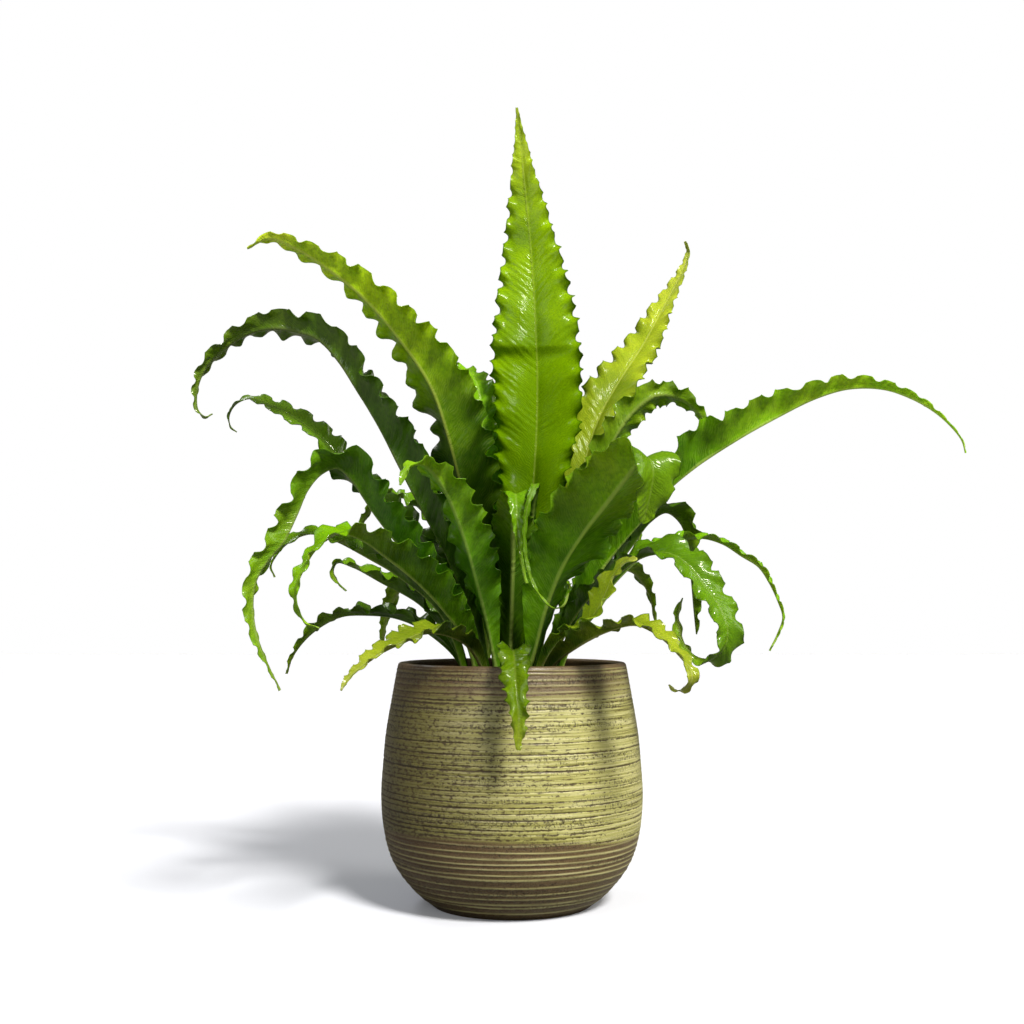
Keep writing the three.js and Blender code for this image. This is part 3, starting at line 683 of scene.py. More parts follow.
@dataclass
class Frond:
    """One undivided fern blade with its stalk, its midrib and a crisped margin."""

    plan: FrondPlan
    index: int
    stalk_width: float = 6.4
    stalk_thickness: float = 3.0
    rib_thickness: float = 2.4
    blade_thickness: float = 0.8
    edge_thickness: float = 0.45
    tip_width: float = 2.4
    socket_depth: float = 15.0
    wave_start: float = 44.0
    wave_step: float = 13.0
    tip_step: float = 8.0
    broad: float = 22.0
    wave_fade: float = 0.16
    tooth_out: float = 2.4
    cusp: float = 3.9
    frill: float = 12.0
    crimp: float = 0.8
    crimp_step: float = 3.4
    billow_step: float = 9.0
    swell: float = 1.5
    bulge: float = 0.07
    crease_rise: float = 7.5
    crease_fall: float = 55.0
    row_step: float = 1.3
    vein_lean: float = 0.84
    stalk_rows: int = 12
    rib_columns: tuple[float, ...] = (0.0, 0.8, 1.6, 2.8)
    rib_spread: float = 1.9
    round_off: float = 3.0
    pull_in: float = 0.22
    hook_width: float = 0.11
    slim_half: float = 12.0
    run_in: float = 20.0
    run_out: float = 60.0
    drift: float = 0.2
    bold_range: tuple[float, float] = (0.55, 1.45)
    hook_range: tuple[float, float] = (0.35, 1.5)
    shift_range: tuple[float, float] = (-0.16, 0.16)
    table_steps: int = 600
    left: Array = field(init=False)
    points: Array = field(init=False)
    lengths: Array = field(init=False)
    length: float = field(init=False)
    crests: Array = field(init=False)
    loose: Array = field(init=False)
    tight: Array = field(init=False)

    def __post_init__(self) -> None:
        """Lay out the midrib and measure it."""
        angle = math.radians(self.plan.heading)
        out = np.array([math.cos(angle), math.sin(angle), 0.0])
        self.left = np.array([-math.sin(angle), math.cos(angle), 0.0])
        self.points = np.array([
            out * reach + self.left * (aside[0] if aside else 0.0) + np.array([0.0, 0.0, height])
            for reach, height, *aside in self.plan.route])
        steps = np.diff(self.position(np.linspace(0, 1, self.table_steps + 1)), axis=0)
        self.lengths = np.concatenate([[0.0], np.cumsum(np.linalg.norm(steps, axis=1))])
        self.length = float(self.lengths[-1])
        self.crests = self.stations()
        self.loose, self.tight = (
            np.arange(-self.run_in, self.length + self.run_out, step)
            for step in (self.billow_step, self.crimp_step))

    def position(self, share: Array) -> Array:
        """Read the centripetal curve through the midrib's points.

        Args:
            share: Curve parameter from 0 to 1.

        Returns:
            Points in millimetres.
        """
        known = self.points
        place = np.clip(share, 0, 1) * (len(known) - 1)
        i = np.minimum(np.floor(place).astype(int), len(known) - 2)
        f = (place - i)[:, None]
        padded = np.vstack([2 * known[0] - known[1], known, 2 * known[-1] - known[-2]])
        p0, p1, p2, p3 = (padded[i + step] for step in range(4))
        g0, g1, g2 = (np.sqrt(np.linalg.norm(b - a, axis=1))[:, None]
                      for a, b in ((p0, p1), (p1, p2), (p2, p3)))
        start = ((p1 - p0) / g0 - (p2 - p0) / (g0 + g1) + (p2 - p1) / g1) * g1
        end = ((p2 - p1) / g1 - (p3 - p1) / (g1 + g2) + (p3 - p2) / g2) * g1
        return (p1 + start * f + (-3 * p1 + 3 * p2 - 2 * start - end) * f ** 2
                + (2 * p1 - 2 * p2 + start + end) * f ** 3)

    def frames(self, distance: Array) -> tuple[Array, Array, Array]:
        """Find the midrib's point and directions at distances from the crown.

        Args:
            distance: Distances in millimetres, below 0 inside the socket.

        Returns:
            Points, side and up directions.
        """
        reached = np.clip(distance, 0, self.length)
        share = np.interp(reached, self.lengths, np.linspace(0, 1, self.table_steps + 1))
        step = 1e-4
        run = unit(self.position(share + step) - self.position(share - step))
        point = self.position(share) + run * np.minimum(distance, 0)[:, None]
        side = unit(self.left - run * (run @ self.left)[:, None])
        turn = np.radians(along(self.plan.twist, reached / self.length))[:, None]
        side = side * np.cos(turn) + np.cross(run, side) * np.sin(turn)
        return point, side, np.cross(run, side)

    def half_width(self, share: Array) -> Array:
        """Give half of the blade's width.

        Args:
            share: Shares of its length.

        Returns:
            Millimetres.
        """
        belly = self.plan.belly
        full, stalk, tip = self.plan.width / 2, self.stalk_width / 2, self.tip_width / 2
        near = np.sin(np.clip(share / belly, 0, 1) * math.pi / 2) ** 1.3
        past = np.clip((share - belly) / (1 - belly), 0, 1)
        far = tip + (full - tip) * (1 - past ** 1.3) ** self.plan.tail
        return np.where(share < belly, stalk + (full - stalk) * near, far)

    def stations(self) -> Array:
        """Find the distances of the margin's crests and troughs, as the part's source does.

        Returns:
            Distances in millimetres, one for each rise or fall.
        """
        waved = self.length - self.wave_start
        marks = [0.0]
        while marks[-1] < waved:
            share = np.array([(self.wave_start + marks[-1]) / self.length])
            breadth = min(1.0, float(self.half_width(share)[0]) / self.broad)
            marks.append(marks[-1] + self.tip_step + (self.wave_step - self.tip_step) * breadth)
        if len(marks) % 2 == 0:
            marks.pop()
        return self.wave_start + np.array(marks) * (waved / marks[-1])

    def draws(self, count: int) -> Array:
        """Repeat the source's seeded numbers: lift and tooth of the left and right margin.

        Args:
            count: How many stations there are, the four of the stalk included.

        Returns:
            An array of count by 4.
        """
        state = 977 + 131 * self.index
        numbers = []
        for _ in range(count * 4):
            state = (state * 1664525 + 1013904223) % 2 ** 32
            numbers.append(state / 2 ** 32)
        return np.array(numbers).reshape(count, 4)

    def columns(self) -> list[tuple[float, float]]:
        """Give the places across half a blade: fixed near the midrib, then shares of the rest.

        Returns:
            Pairs of millimetres and share.
        """
        if self.plan.width > 45:
            shares = (0.14, 0.28, 0.42, 0.55, 0.66, 0.75, 0.83, 0.9, 0.955, 1.0)
        elif self.plan.width > 20:
            shares = (0.2, 0.4, 0.56, 0.7, 0.81, 0.9, 1.0)
        else:
            shares = (0.35, 0.7, 1.0)
        last = self.rib_columns[-1]
        return [(fixed, 0.0) for fixed in self.rib_columns] + [(last, share) for share in shares]

    def rows(self) -> Array:
        """Give the distances of all rows along the blade.

        Returns:
            Distances in millimetres.
        """
        found = [-self.socket_depth, -self.socket_depth / 2]
        found += list(np.linspace(0, self.wave_start, self.stalk_rows)[:-1])
        for near, far in zip(self.crests[:-1], self.crests[1:]):
            parts = 2 * max(2, round((far - near) / self.row_step / 2))
            found += list(near + (far - near) * np.arange(parts) / parts)
        return np.array(found + [self.crests[-1]])

    def billows(self, rng: Draws) -> Array:
        """Draw smoothed values of about -1 to 1 along the blade, for uneven swells."""
        noise = rng.normal(0, 1, len(self.loose) + 4)
        return np.convolve(noise, np.array([1, 3, 4, 3, 1]) / 12, "valid") * 1.5

    def margins(self) -> list[Margin]:
        """Draw what is uneven along the left and the right margin.

        Returns:
            The left and the right margin.
        """
        count = len(self.crests)
        drawn = self.draws(count + 4)[4:].T
        rng = np.random.default_rng(500 + self.index)
        heave = [self.billows(rng) for _ in range(2)]
        drift = [self.drift * self.billows(rng) for _ in range(2)]
        crimps = [rng.uniform(-1, 1, len(self.tight)) for _ in range(2)]
        bold, hook, shift = (
            [rng.uniform(*limits, count) for _ in range(2)]
            for limits in (self.bold_range, self.hook_range, self.shift_range))
        return [Margin(*each) for each in zip(
            drawn[::2], drawn[1::2], heave, drift, crimps, bold, hook, shift)]

    def ruffle(
        self, which: int, margin: Margin, distance: Array, half: Array, force: Array, flat: Array
    ) -> tuple[Array, Array]:
        """Wave, crimp and tooth one column of points.

        Args:
            which: 0 for the left side of the blade and 1 for the right one.
            margin: What was drawn for that side.
            distance: Each row's distance from the crown, in millimetres.
            half: Half of the blade's width at each row.
            force: How strongly the blade waves at each row, from 0 to 1.
            flat: The column's distance from the midrib before it waves.

        Returns:
            How far the column rises, and its new distance from the midrib, in millimetres.
        """
        wave = self.plan.wave
        sharp = min(1.0, wave / 3)
        marks = np.arange(len(self.crests))
        u = flat / half
        slant = distance + self.vein_lean * 0.7 * (half - flat)
        phase = np.interp(slant, self.crests, marks)
        phase = np.clip(phase + np.interp(slant, self.loose, margin.drift), 0, marks[-1])
        strength = 0.8 + 0.4 * np.interp(phase, marks, margin.lifts)
        strength *= np.interp(phase, marks, margin.bold)
        zone = np.minimum(self.frill, 0.65 * half)
        ramp = np.clip((flat - half + zone) / zone, 0, 1)
        lift = wave * force * strength * np.cos(math.pi * phase) * (1 - 2 * which) * ramp ** 1.5
        billow = np.interp(slant - 0.3 * half, self.loose, margin.heave)
        lift += self.swell * wave * force * billow * u * (1 - 0.5 * u)
        lift += self.crimp * force * sharp * np.interp(slant, self.tight, margin.crimps) * ramp ** 2
        gap = np.abs(np.mod(phase + which + 1, 2) - 1)
        between = np.floor(phase).astype(int)
        corner = margin.hook[between] * np.exp(
            -np.abs(phase - between - 0.5 - margin.shift[between]) / self.hook_width)
        outline = (self.cusp * (0.85 * corner + 0.3 * (1 - smooth((gap - 0.4) / 0.4))
                                - 0.5 * smooth((gap - 0.5) / 0.4))
                   + 0.5 * self.tooth_out * np.interp(phase, marks, margin.teeth - 0.25))
        reach = flat + sharp * force * outline * ramp ** 2.5
        return lift, reach - self.pull_in * np.abs(lift) * ramp

    def thickness(self, across: Array, u: Array, half: Array, thinning: Array) -> Array:
        """Thin the blade from its round stalk to a leaf with a midrib and a fine edge.

        Args:
            across: Each point's distance from the midrib, in millimetres.
            u: The same as a share of half the width.
            half: Half of the blade's width at each row.
            thinning: How far each row is on the way from stalk to leaf, from 0 to 1.

        Returns:
            The thickness at each point, in millimetres.
        """
        broad = np.minimum(1, half / self.broad)
        rib = self.blade_thickness + (self.rib_thickness - self.blade_thickness) * broad
        stalk = self.stalk_thickness * (1 - 0.6 * u ** 2)
        middle = np.exp(-(across / self.rib_spread) ** 2)
        leaf = self.blade_thickness + (rib[:, None] - self.blade_thickness) * middle
        leaf -= (self.blade_thickness - self.edge_thickness) * smooth((u - 0.8) / 0.2)
        return stalk + (leaf - stalk) * thinning[:, None]

    def surface(self) -> tuple[Array, Array, Array, Array]:
        """Shape both faces of the blade.

        Returns:
            Upper points and lower points in millimetres, share across, share along and face, and
            distance across, distance along and vein line in metres.
        """
        plan = self.plan
        distance = self.rows()
        point, side, up = self.frames(distance)
        share = np.clip(distance / self.length, 0, 1)
        half = np.where(distance <= 0, self.stalk_width / 2, self.half_width(share))
        fold = np.where(distance <= 0, 0.0, np.radians(along(plan.fold, share)))
        rise = smooth((distance - self.wave_start) / (self.wave_fade * self.length))
        force = rise * np.minimum(1.0, 2.2 * half / plan.width + 0.08)
        thinning = smooth(distance / self.wave_start)
        slim = np.minimum(1.0, half / self.slim_half)
        bend = self.round_off * slim
        past = distance - plan.crease[0] * self.length
        slope = np.where(past < 0, self.crease_rise, self.crease_fall)
        crease = plan.crease[1] * np.exp(-(past / slope) ** 2)
        places = self.columns()
        top, blade, run = (np.zeros((len(distance), 2 * len(places) - 1, 3)) for _ in range(3))
        for which, margin in enumerate(self.margins()):
            hand = 1 - 2 * which
            for j, (fixed, part) in enumerate(places):
                column = len(places) - 1 + hand * j
                flat = fixed * slim + (half - fixed * slim) * part
                u = flat / half
                lift, reach = self.ruffle(which, margin, distance, half, force, flat)
                crown = self.bulge * half * np.sin(math.pi * np.clip(u, 0, 1)) * thinning
                groove = (0.25 * np.exp(-(flat / 0.6) ** 2)
                          - 0.35 * np.exp(-((flat - 1.4) / 0.7) ** 2)) * thinning * slim
                sag = crease * (0.5 + 0.5 * np.minimum(1.0, u / 0.3)) * (1 + 0.3 * hand * u)
                risen = lift + crown + groove + sag
                out = np.cos(fold) * reach - np.sin(fold) * risen
                height = np.sin(fold) * (np.sqrt(reach ** 2 + bend ** 2) - bend) + np.cos(fold) * risen
                top[:, column] = point + side * (hand * out)[:, None] + up * height[:, None]
                blade[:, column] = np.stack([hand * u, share, np.ones_like(u)], axis=1)
                vein = distance - self.vein_lean * flat
                run[:, column] = np.stack([hand * flat, distance, vein], axis=1) * MM
        normal = unit(np.cross(np.gradient(top, axis=0), np.gradient(top, axis=1)))
        thick = self.thickness(np.abs(run[..., 0]) / MM, np.abs(blade[..., 0]), half, thinning)
        return top, top - normal * thick[..., None], blade, run

    def build(self) -> Piece:
        """Model the blade as one closed piece.

        Returns:
            The frond, in metres.
        """
        top, bottom, blade, run = self.surface()
        share = blade[..., 1]
        # Painted shade towards the root, times each frond's own tint and painted shade; the wax drops
        # below the crease.
        shade = self.plan.root_shade + (1 - self.plan.root_shade) * smooth((share - 0.3) / 0.35)
        tint_and_painted_shade = shade[..., None] * np.array(self.plan.tint_and_painted_shade)
        tint_and_painted_shade[..., 2] *= 0.2 + 0.8 * smooth((share - self.plan.crease[0]) / 0.08 + 0.5)
        low, high = np.array(CAD_BOX)
        faces = np.clip(np.stack([top, bottom]) * MM, low + BOX_MARGIN, high - BOX_MARGIN)
        fields = {"blade": np.stack([blade, blade * (1, 1, -1)]), "run": np.stack([run, run]),
                  "tint_and_painted_shade": np.stack([tint_and_painted_shade, tint_and_painted_shade])}
        return grid_piece("blade_" + self.plan.name, faces, fields, merge=0, crisp=62)


@dataclass(frozen=True)
class GlazeFinish:
    """Fired stoneware glaze, thrown on the wheel, dipped and fired.

    A pale olive glaze has broken over the throwing ridges and left bronze-brown clay in the
    grooves, so the eye sees broken level lines, dark pits and a soft satin gloss. Towards the
    foot and the rim it wore away: bare brown bands lie there between narrow ridges of glaze. A few
    pits lie anywhere, and rows of them where the maker's tool chattered. Painted shade darkens the
    left side, and the extra grooves and bare clay on the front left side are partly a thinner glaze
    and partly painted shade.
    """

    light: str = "d6d4a0"
    body: str = "aead64"
    shade: str = "666232"
    clay: str = "705843"
    dark_clay: str = "3e2e1e"
    pit: str = "33291a"
    # Painted shade on the planter's left side: its grey tint, and where along x, in metres, it runs from
    # full to none.
    painted_shade_tint: str = "d2ccc2"
    painted_shade_from: float = -0.12
    painted_shade_to: float = 0.02
    streak_mm: float = 1.5
    pit_mm: float = 1.9
    row_mm: float = 6.0
    relief_mm: float = 0.45

    def make(self) -> Material:
        """Build the material.

        Returns:
            The glaze, which reads the planter's "glaze" field.
        """
        material, add = new_material("fired_glaze_on_stoneware")
        spot = add("TexCoord", out="Object")
        glaze = add("Attribute", out="Vector", attribute_name="glaze")
        # The first two fields, groove depth and worn bands, are raised on the front left side, partly for
        # a thinner glaze and partly as painted shade.
        cut, wear_and_painted_shade, ridge = add("SeparateXYZ", (glaze,), None).outputs
        streaks = self.stretched_noise(add, spot, 12.0, 1 / (self.streak_mm * MM))
        # Painted shade: the planter darkens towards negative x, its left side, turned from the key light.
        side = add("SeparateXYZ", (spot,), "X")
        left_painted_shade = add("MapRange", (side, self.painted_shade_from, self.painted_shade_to, 1.0, 0.0))
        dipped = add("ValToRGB", (streaks,), stops=(
            (0.34, self.shade), (0.46, self.body), (0.60, self.light)))
        clouds = Mottle(26.0, self.body, low=0.35, high=0.65, most=0.35, detail=4.0, roughness=0.6)
        dashes = self.stretched_noise(add, spot, 210.0, 420.0)
        groove = add("Math", (dashes, 2.2, cut), **TIMES_ADD)
        groove_share = add("MapRange", (groove, 1.5, 1.76, 0.0, 0.9))
        ridge_share = add("Math", (ridge, 0.7), **TIMES)
        worn = add("Math", (streaks, 1.2, wear_and_painted_shade), **TIMES_ADD)
        worn_share = add("MapRange", (worn, 0.98, 1.3, 0.0, 0.92))
        off_ridge = add("Math", (ridge, -0.95, 1.0), **TIMES_ADD)
        bare_share = add("Math", (worn_share, off_ridge), **TIMES)
        crumbs = add("TexNoise", {
            "Vector": spot, "Scale": 1 / (self.pit_mm * 0.5 * MM), "Detail": 3.0, "Roughness": 0.7})
        earth = add("ValToRGB", (crumbs,), stops=((0.36, self.dark_clay), (0.60, self.clay)))
        pits = self.stretched_noise(add, spot, 1 / (self.pit_mm * MM), 0.8 / (self.pit_mm * MM))
        rows = self.stretched_noise(add, spot, 5.0, 1 / (self.row_mm * MM))
        row_share = add("MapRange", (rows, 0.44, 0.60, 0.0, 0.16))
        deeper = add("Math", (pits, row_share), operation="ADD")
        pit_share = add("MapRange", (deeper, 0.64, 0.76, 0.0, 0.8))
        colour = clouds.over(add, dipped, spot)
        # The first mix lays the painted shade on the left side; the grooves and bare clay also carry
        # painted shade on the front left.
        for share, over in ((left_painted_shade, self.shade), (groove_share, self.dark_clay), (ridge_share, self.light),
                            (bare_share, earth), (pit_share, self.pit)):
            colour = add("Mix", {0: share, 6: colour, 7: over}, **RGBA)
        grit = add("Math", (pit_share, -1.0, streaks), **TIMES_ADD)
        rough = add("Math", (crumbs, 0.8, grit), **TIMES_ADD)
        # The base colour is multiplied by a grey on the left side, more painted shade.
        shader = add("BsdfPrincipled", {
            "Base Color": add("Mix", {0: left_painted_shade, 6: colour, 7: self.painted_shade_tint}, blend_type="MULTIPLY", **RGBA),
            "Roughness": add("MapRange", (groove_share, 0.0, 1.0, 0.38, 0.6)), "IOR": 1.5,
            "Normal": add("Bump", {"Height": rough, "Strength": 0.75, "Distance": self.relief_mm * MM}),
            "Coat Weight": 0.2, "Coat Roughness": 0.25})
        add("OutputMaterial", (shader,), None)
        return material

    def stretched_noise(self, add: AddNode, spot: Socket, level: float, upright: float) -> Socket:
        """Make noise that runs round the planter.

        Args:
            add: Adds a node to the material.
            spot: Object coordinates.
            level: Features in a metre of level distance.
            upright: Features in a metre of height.

        Returns:
            The noise's value.
        """
        scaled = add("Mapping", {"Vector": spot, "Scale": (level, level, upright)})
        return add("TexNoise", {"Vector": scaled, "Scale": 1.0, "Detail": 4.0, "Roughness": 0.65})


@dataclass
class Planter:
    """The thrown planter: fine ridges outside, rounded rim, smooth wall inside."""

    wall: float = 8.0
    floor: float = 12.0
    sides: int = 144
    ring_step: float = 0.5
    outline: tuple[tuple[float, float], ...] = (
        (0, 76), (9.5, 88.7), (20.5, 99.5), (37.6, 112), (54.5, 119), (77, 123.5),
        (100, 125.2), (134, 123.6), (157, 121.7), (191, 116.4), (228, 110),
    )
    rim_round: float = 3.0
    deepest: float = 0.7
    first_groove: float = 6.0
    last_groove: float = 223.0
    foot_band: float = 80.0
    foot_fade: float = 16.0
    rim_band: float = 180.0
    rim_fade: float = 34.0
    recess: float = 0.45
    ridge_gap: float = 1.7
    ridge_width: float = 0.95
    # Heading in degrees of the front left side, where the glaze is thinner and painted shade darkens it.
    thin_and_shaded_side: float = 215.0
    seed: int = 71

    def radius(self, height: Array | float) -> Array:
        """Read the smooth outer radius.

        Args:
            height: Heights in millimetres.

        Returns:
            Radii in millimetres.
        """
        heights, radii = np.array(self.outline, float).T
        slopes = np.gradient(radii, heights)
        i = np.clip(np.searchsorted(heights, height) - 1, 0, len(heights) - 2)
        span = heights[i + 1] - heights[i]
        f = np.clip((height - heights[i]) / span, 0, 1)
        near = radii[i] * (1 + 2 * f) * (1 - f) ** 2 + radii[i + 1] * f ** 2 * (3 - 2 * f)
        return near + span * (slopes[i] * f * (1 - f) ** 2 - slopes[i + 1] * f ** 2 * (1 - f))

    def profile(self) -> tuple[list[tuple[float, float]], int, int]:
        """Draw half of the cut through the planter, from under its foot to its inside.

        Returns:
            Radius and height of each point, and where the outside starts and ends.
        """
        rim_height, rim_radius = self.outline[-1]
        turn = np.linspace(0, math.pi / 2, 6)
        outside = np.arange(0.0, rim_height - self.rim_round, self.ring_step)
        points = [(0.0, 0.0), (self.outline[0][1] * 0.5, 0.0)]
        first = len(points)
        points += [(float(self.radius(height)), float(height)) for height in outside]
        last = len(points)
        points += [(rim_radius - self.rim_round * (1 - math.cos(angle)),
                    rim_height - self.rim_round * (1 - math.sin(angle))) for angle in turn]
        inner_edge = rim_radius - self.wall + self.rim_round
        points += [(inner_edge - self.rim_round * math.sin(angle),
                    rim_height - self.rim_round * (1 - math.cos(angle))) for angle in turn]
        inside = [*np.arange(rim_height - 2 * self.rim_round, self.floor + 2, -8.0), self.floor]
        points += [(float(self.radius(height)) - self.wall, float(height)) for height in inside]
        return points + [(0.0, self.floor)], first, last

    def grooves(self, rng: Draws) -> list[tuple[float, float, float]]:
        """Draw the throwing lines.

        Args:
            rng: Seeded source of the spacing.

        Returns:
            Height, depth and half width of each, from the foot to the rim.
        """
        found = []
        height = self.first_groove
        while height < self.last_groove:
            found.append((height, rng.uniform(0.25, self.deepest), rng.uniform(0.5, 0.8)))
            height += rng.uniform(3.0, 7.6) if height < self.foot_band else rng.uniform(3.2, 6.2)
        return found

    def build(self) -> Piece:
        """Model the planter as one closed turned piece.

        Returns:
            The planter, in metres.
        """
        rng = np.random.default_rng(self.seed)
        profile, first, last = self.profile()
        angle, radius, height = rings(profile, self.sides)
        cut = np.zeros_like(radius)
        ridge = np.zeros_like(radius)
        for place, deep, width in self.grooves(rng):
            path = place + 0.7 * wobble(angle, rng, (1, 2, 5))
            fade = np.clip(0.75 + 0.45 * wobble(angle, rng, (3, 7, 11)), 0.15, 1.0)
            cut = np.maximum(cut, deep * fade * np.exp(-((height - path) / width) ** 2))
            offset = (height - path - self.ridge_gap) / (self.ridge_width * rng.uniform(0.7, 1.2))
            ridge = np.maximum(ridge, np.sqrt(fade) * np.exp(-offset ** 2))
        foot = smooth((self.foot_band + 5 * wobble(angle, rng, (1, 2, 3)) - height) / self.foot_fade)
        rim = smooth((height - self.rim_band) / self.rim_fade)
        rim *= 0.44 + 0.36 * wobble(angle, rng, (1, 2, 3))
        worn = np.maximum(foot, rim)
        # More grooves and bare clay towards the front left side: partly a thinner glaze, partly painted
        # shade on the side turned from the key light.
        thin_and_shaded = 0.5 + 0.5 * np.cos(angle - math.radians(self.thin_and_shaded_side))
        ring = np.arange(len(profile))[:, None]
        body = (ring >= first + 3) & (ring < last)
        lip = ring >= last
        fields = np.stack([cut / self.deepest + 0.36 * thin_and_shaded, np.where(lip, 1.0, worn + 0.3 * thin_and_shaded),
                           np.where(lip, 0.0, ridge * worn)], axis=2)[None]
        radius -= np.maximum(cut, self.recess * worn * (1 - ridge)) * body
        points = turned_points(angle, radius, height)
        return grid_piece("thrown_planter", points, {"glaze": fields}, merge=SEAM, crisp=50)


@dataclass(frozen=True)
class EarthFinish:
    """Loose plant matter: shredded bark and peat, or dry fern scales, dull and uneven."""

    name: str
    dark: str
    light: str
    grain_mm: float
    relief_mm: float = 0.8
    roughness: float = 0.9

    def make(self) -> Material:
        """Build the material.

        Returns:
            The material for soil or scales.
        """
        material, add = new_material(self.name)
        crumbs = add("TexNoise", {
            "Vector": add("TexCoord", out="Object"), "Scale": 1 / (self.grain_mm * MM), "Detail": 5.0,
            "Roughness": 0.65})
        shader = add("BsdfPrincipled", {
            "Base Color": add("ValToRGB", (crumbs,), stops=((0.34, self.dark), (0.70, self.light))),
            "Roughness": self.roughness, "IOR": 1.45,
            "Normal": add("Bump", {"Height": crumbs, "Strength": 0.8, "Distance": self.relief_mm * MM})})
        add("OutputMaterial", (shader,), None)
        return material


@dataclass
class PottingMix:
    """Bark and peat that fill the planter, uneven on top, with chips of bark lying in it."""

    top: float = 198.0
    bottom: float = 12.3
    hole: float = 51.3
    hole_depth: float = 16.3
    gap: float = 0.4
    rings: int = 22
    unevenness: float = 3.6
    walls: tuple[float, ...] = (12.3, 26.0, 54.0, 77.0, 100.0, 130.0, 157.0, 178.0, 190.0)
    sides: int = 96
    chips: int = 170
    seed: int = 19

    def build(self, planter: Planter) -> Piece:
        """Model the fill as one closed piece with its chips joined on.

        Args:
            planter: The planter that it fills.

        Returns:
            The potting mix, in metres.
        """
        rng = np.random.default_rng(self.seed)
        *spread, edge = (float(planter.radius(height)) - planter.wall - self.gap
                         for height in (*self.walls, self.top))
        surface = [(float(radius), self.top) for radius in np.linspace(edge, self.hole, self.rings)]
        profile = [(0.0, self.bottom), *zip(spread, self.walls), *surface,
                   (self.hole, self.top - self.hole_depth), (0.0, self.top - self.hole_depth)]
        angle, radius, height = rings(profile, self.sides)
        bumps = rng.uniform(-self.unevenness, 0.0, (len(surface), self.sides + 1))
        bumps[:, -1] = bumps[:, 0]
        height[-2 - len(surface):-2] += bumps
        points = turned_points(angle, radius, height)
        piece = grid_piece("potting_mix_fill", points, {}, merge=SEAM, crisp=40)
        return join_to(piece, [self.chip(rng, edge) for _ in range(self.chips)])

    def chip(self, rng: Draws, edge: float) -> Piece:
        """Model one chip of bark, half sunk in the mix.

        Args:
            rng: Seeded source of its size and place.
            edge: Radius of the fill, in millimetres.

        Returns:
            The chip, in metres.
        """
        radius = rng.uniform(self.hole + 6, edge - 9)
        angle = rng.uniform(0, TURN)
        place = radius * math.cos(angle), radius * math.sin(angle), self.top - rng.uniform(0.5, 2.5)
        turn = rng.uniform(-0.35, 0.35), rng.uniform(-0.35, 0.35), rng.uniform(0, math.pi)
        bpy.ops.object.select_all(action="DESELECT")
        bpy.ops.mesh.primitive_cube_add(size=1, location=np.array(place) * MM, rotation=turn)
        piece = bpy.context.object
        piece.scale = np.array((rng.uniform(7, 15), rng.uniform(4, 8), rng.uniform(2, 4))) * MM
        bpy.ops.object.transform_apply(location=True, rotation=True, scale=True)
        bevel = piece.modifiers.new("broken_edges", "BEVEL")
        bevel.width = 0.9 * MM
        bevel.segments = 1
        bpy.ops.object.modifier_apply(modifier=bevel.name)
        return piece


@dataclass
class Crown:
    """The short upright rootstock, a dome of pointed brown scales between the stalks."""

    radius: float = 51.0
    top: float = 198.0
    rise: float = 12.0
    depth: float = 16.0
    steps: int = 14
    unevenness: float = 1.4
    sides: int = 48
    scales: int = 230
    seed: int = 5

    def build(self) -> Piece:
        """Model the dome and its scales as one piece.

        Returns:
            The crown, in metres.
        """
        rng = np.random.default_rng(self.seed)
        profile = [(0.0, self.top - self.depth), (self.radius, self.top - self.depth)]
        profile += [(self.radius * share, self.top + self.rise * (1 - share * share))
                    for share in np.linspace(1, 0, self.steps)]
        angle, radius, height = rings(profile, self.sides)
        bumps = rng.uniform(-self.unevenness, 0.0, radius.shape)
        bumps[:, -1] = bumps[:, 0]
        bumps[:3] = 0
        bumps[-1] = 0
        points = turned_points(angle, radius, height + bumps)
        piece = grid_piece("crown_of_scales", points, {}, merge=SEAM, crisp=40)
        return join_to(piece, [self.scale(rng) for _ in range(self.scales)])

    def scale(self, rng: Draws) -> Piece:
        """Model one narrow pointed scale that leans outwards.

        Args:
            rng: Seeded source of its size and place.

        Returns:
            The scale, in metres.
        """
        share = math.sqrt(rng.uniform(0.0, 0.92))
        angle = rng.uniform(0, TURN)
        reach = self.radius * share
        height = self.top + self.rise * (1 - share * share) + 1.5
        place = reach * math.cos(angle), reach * math.sin(angle), height
        bpy.ops.object.select_all(action="DESELECT")
        bpy.ops.mesh.primitive_cone_add(
            vertices=5, radius1=1.0, radius2=0.0, depth=1.0, end_fill_type="NGON",
            location=np.array(place) * MM, rotation=(0, 0.25 + 0.9 * share, angle))
        piece = bpy.context.object
        piece.scale = np.array((0.5, rng.uniform(0.9, 1.6), rng.uniform(6, 12))) * MM
        bpy.ops.object.transform_apply(location=True, rotation=True, scale=True)
        return piece


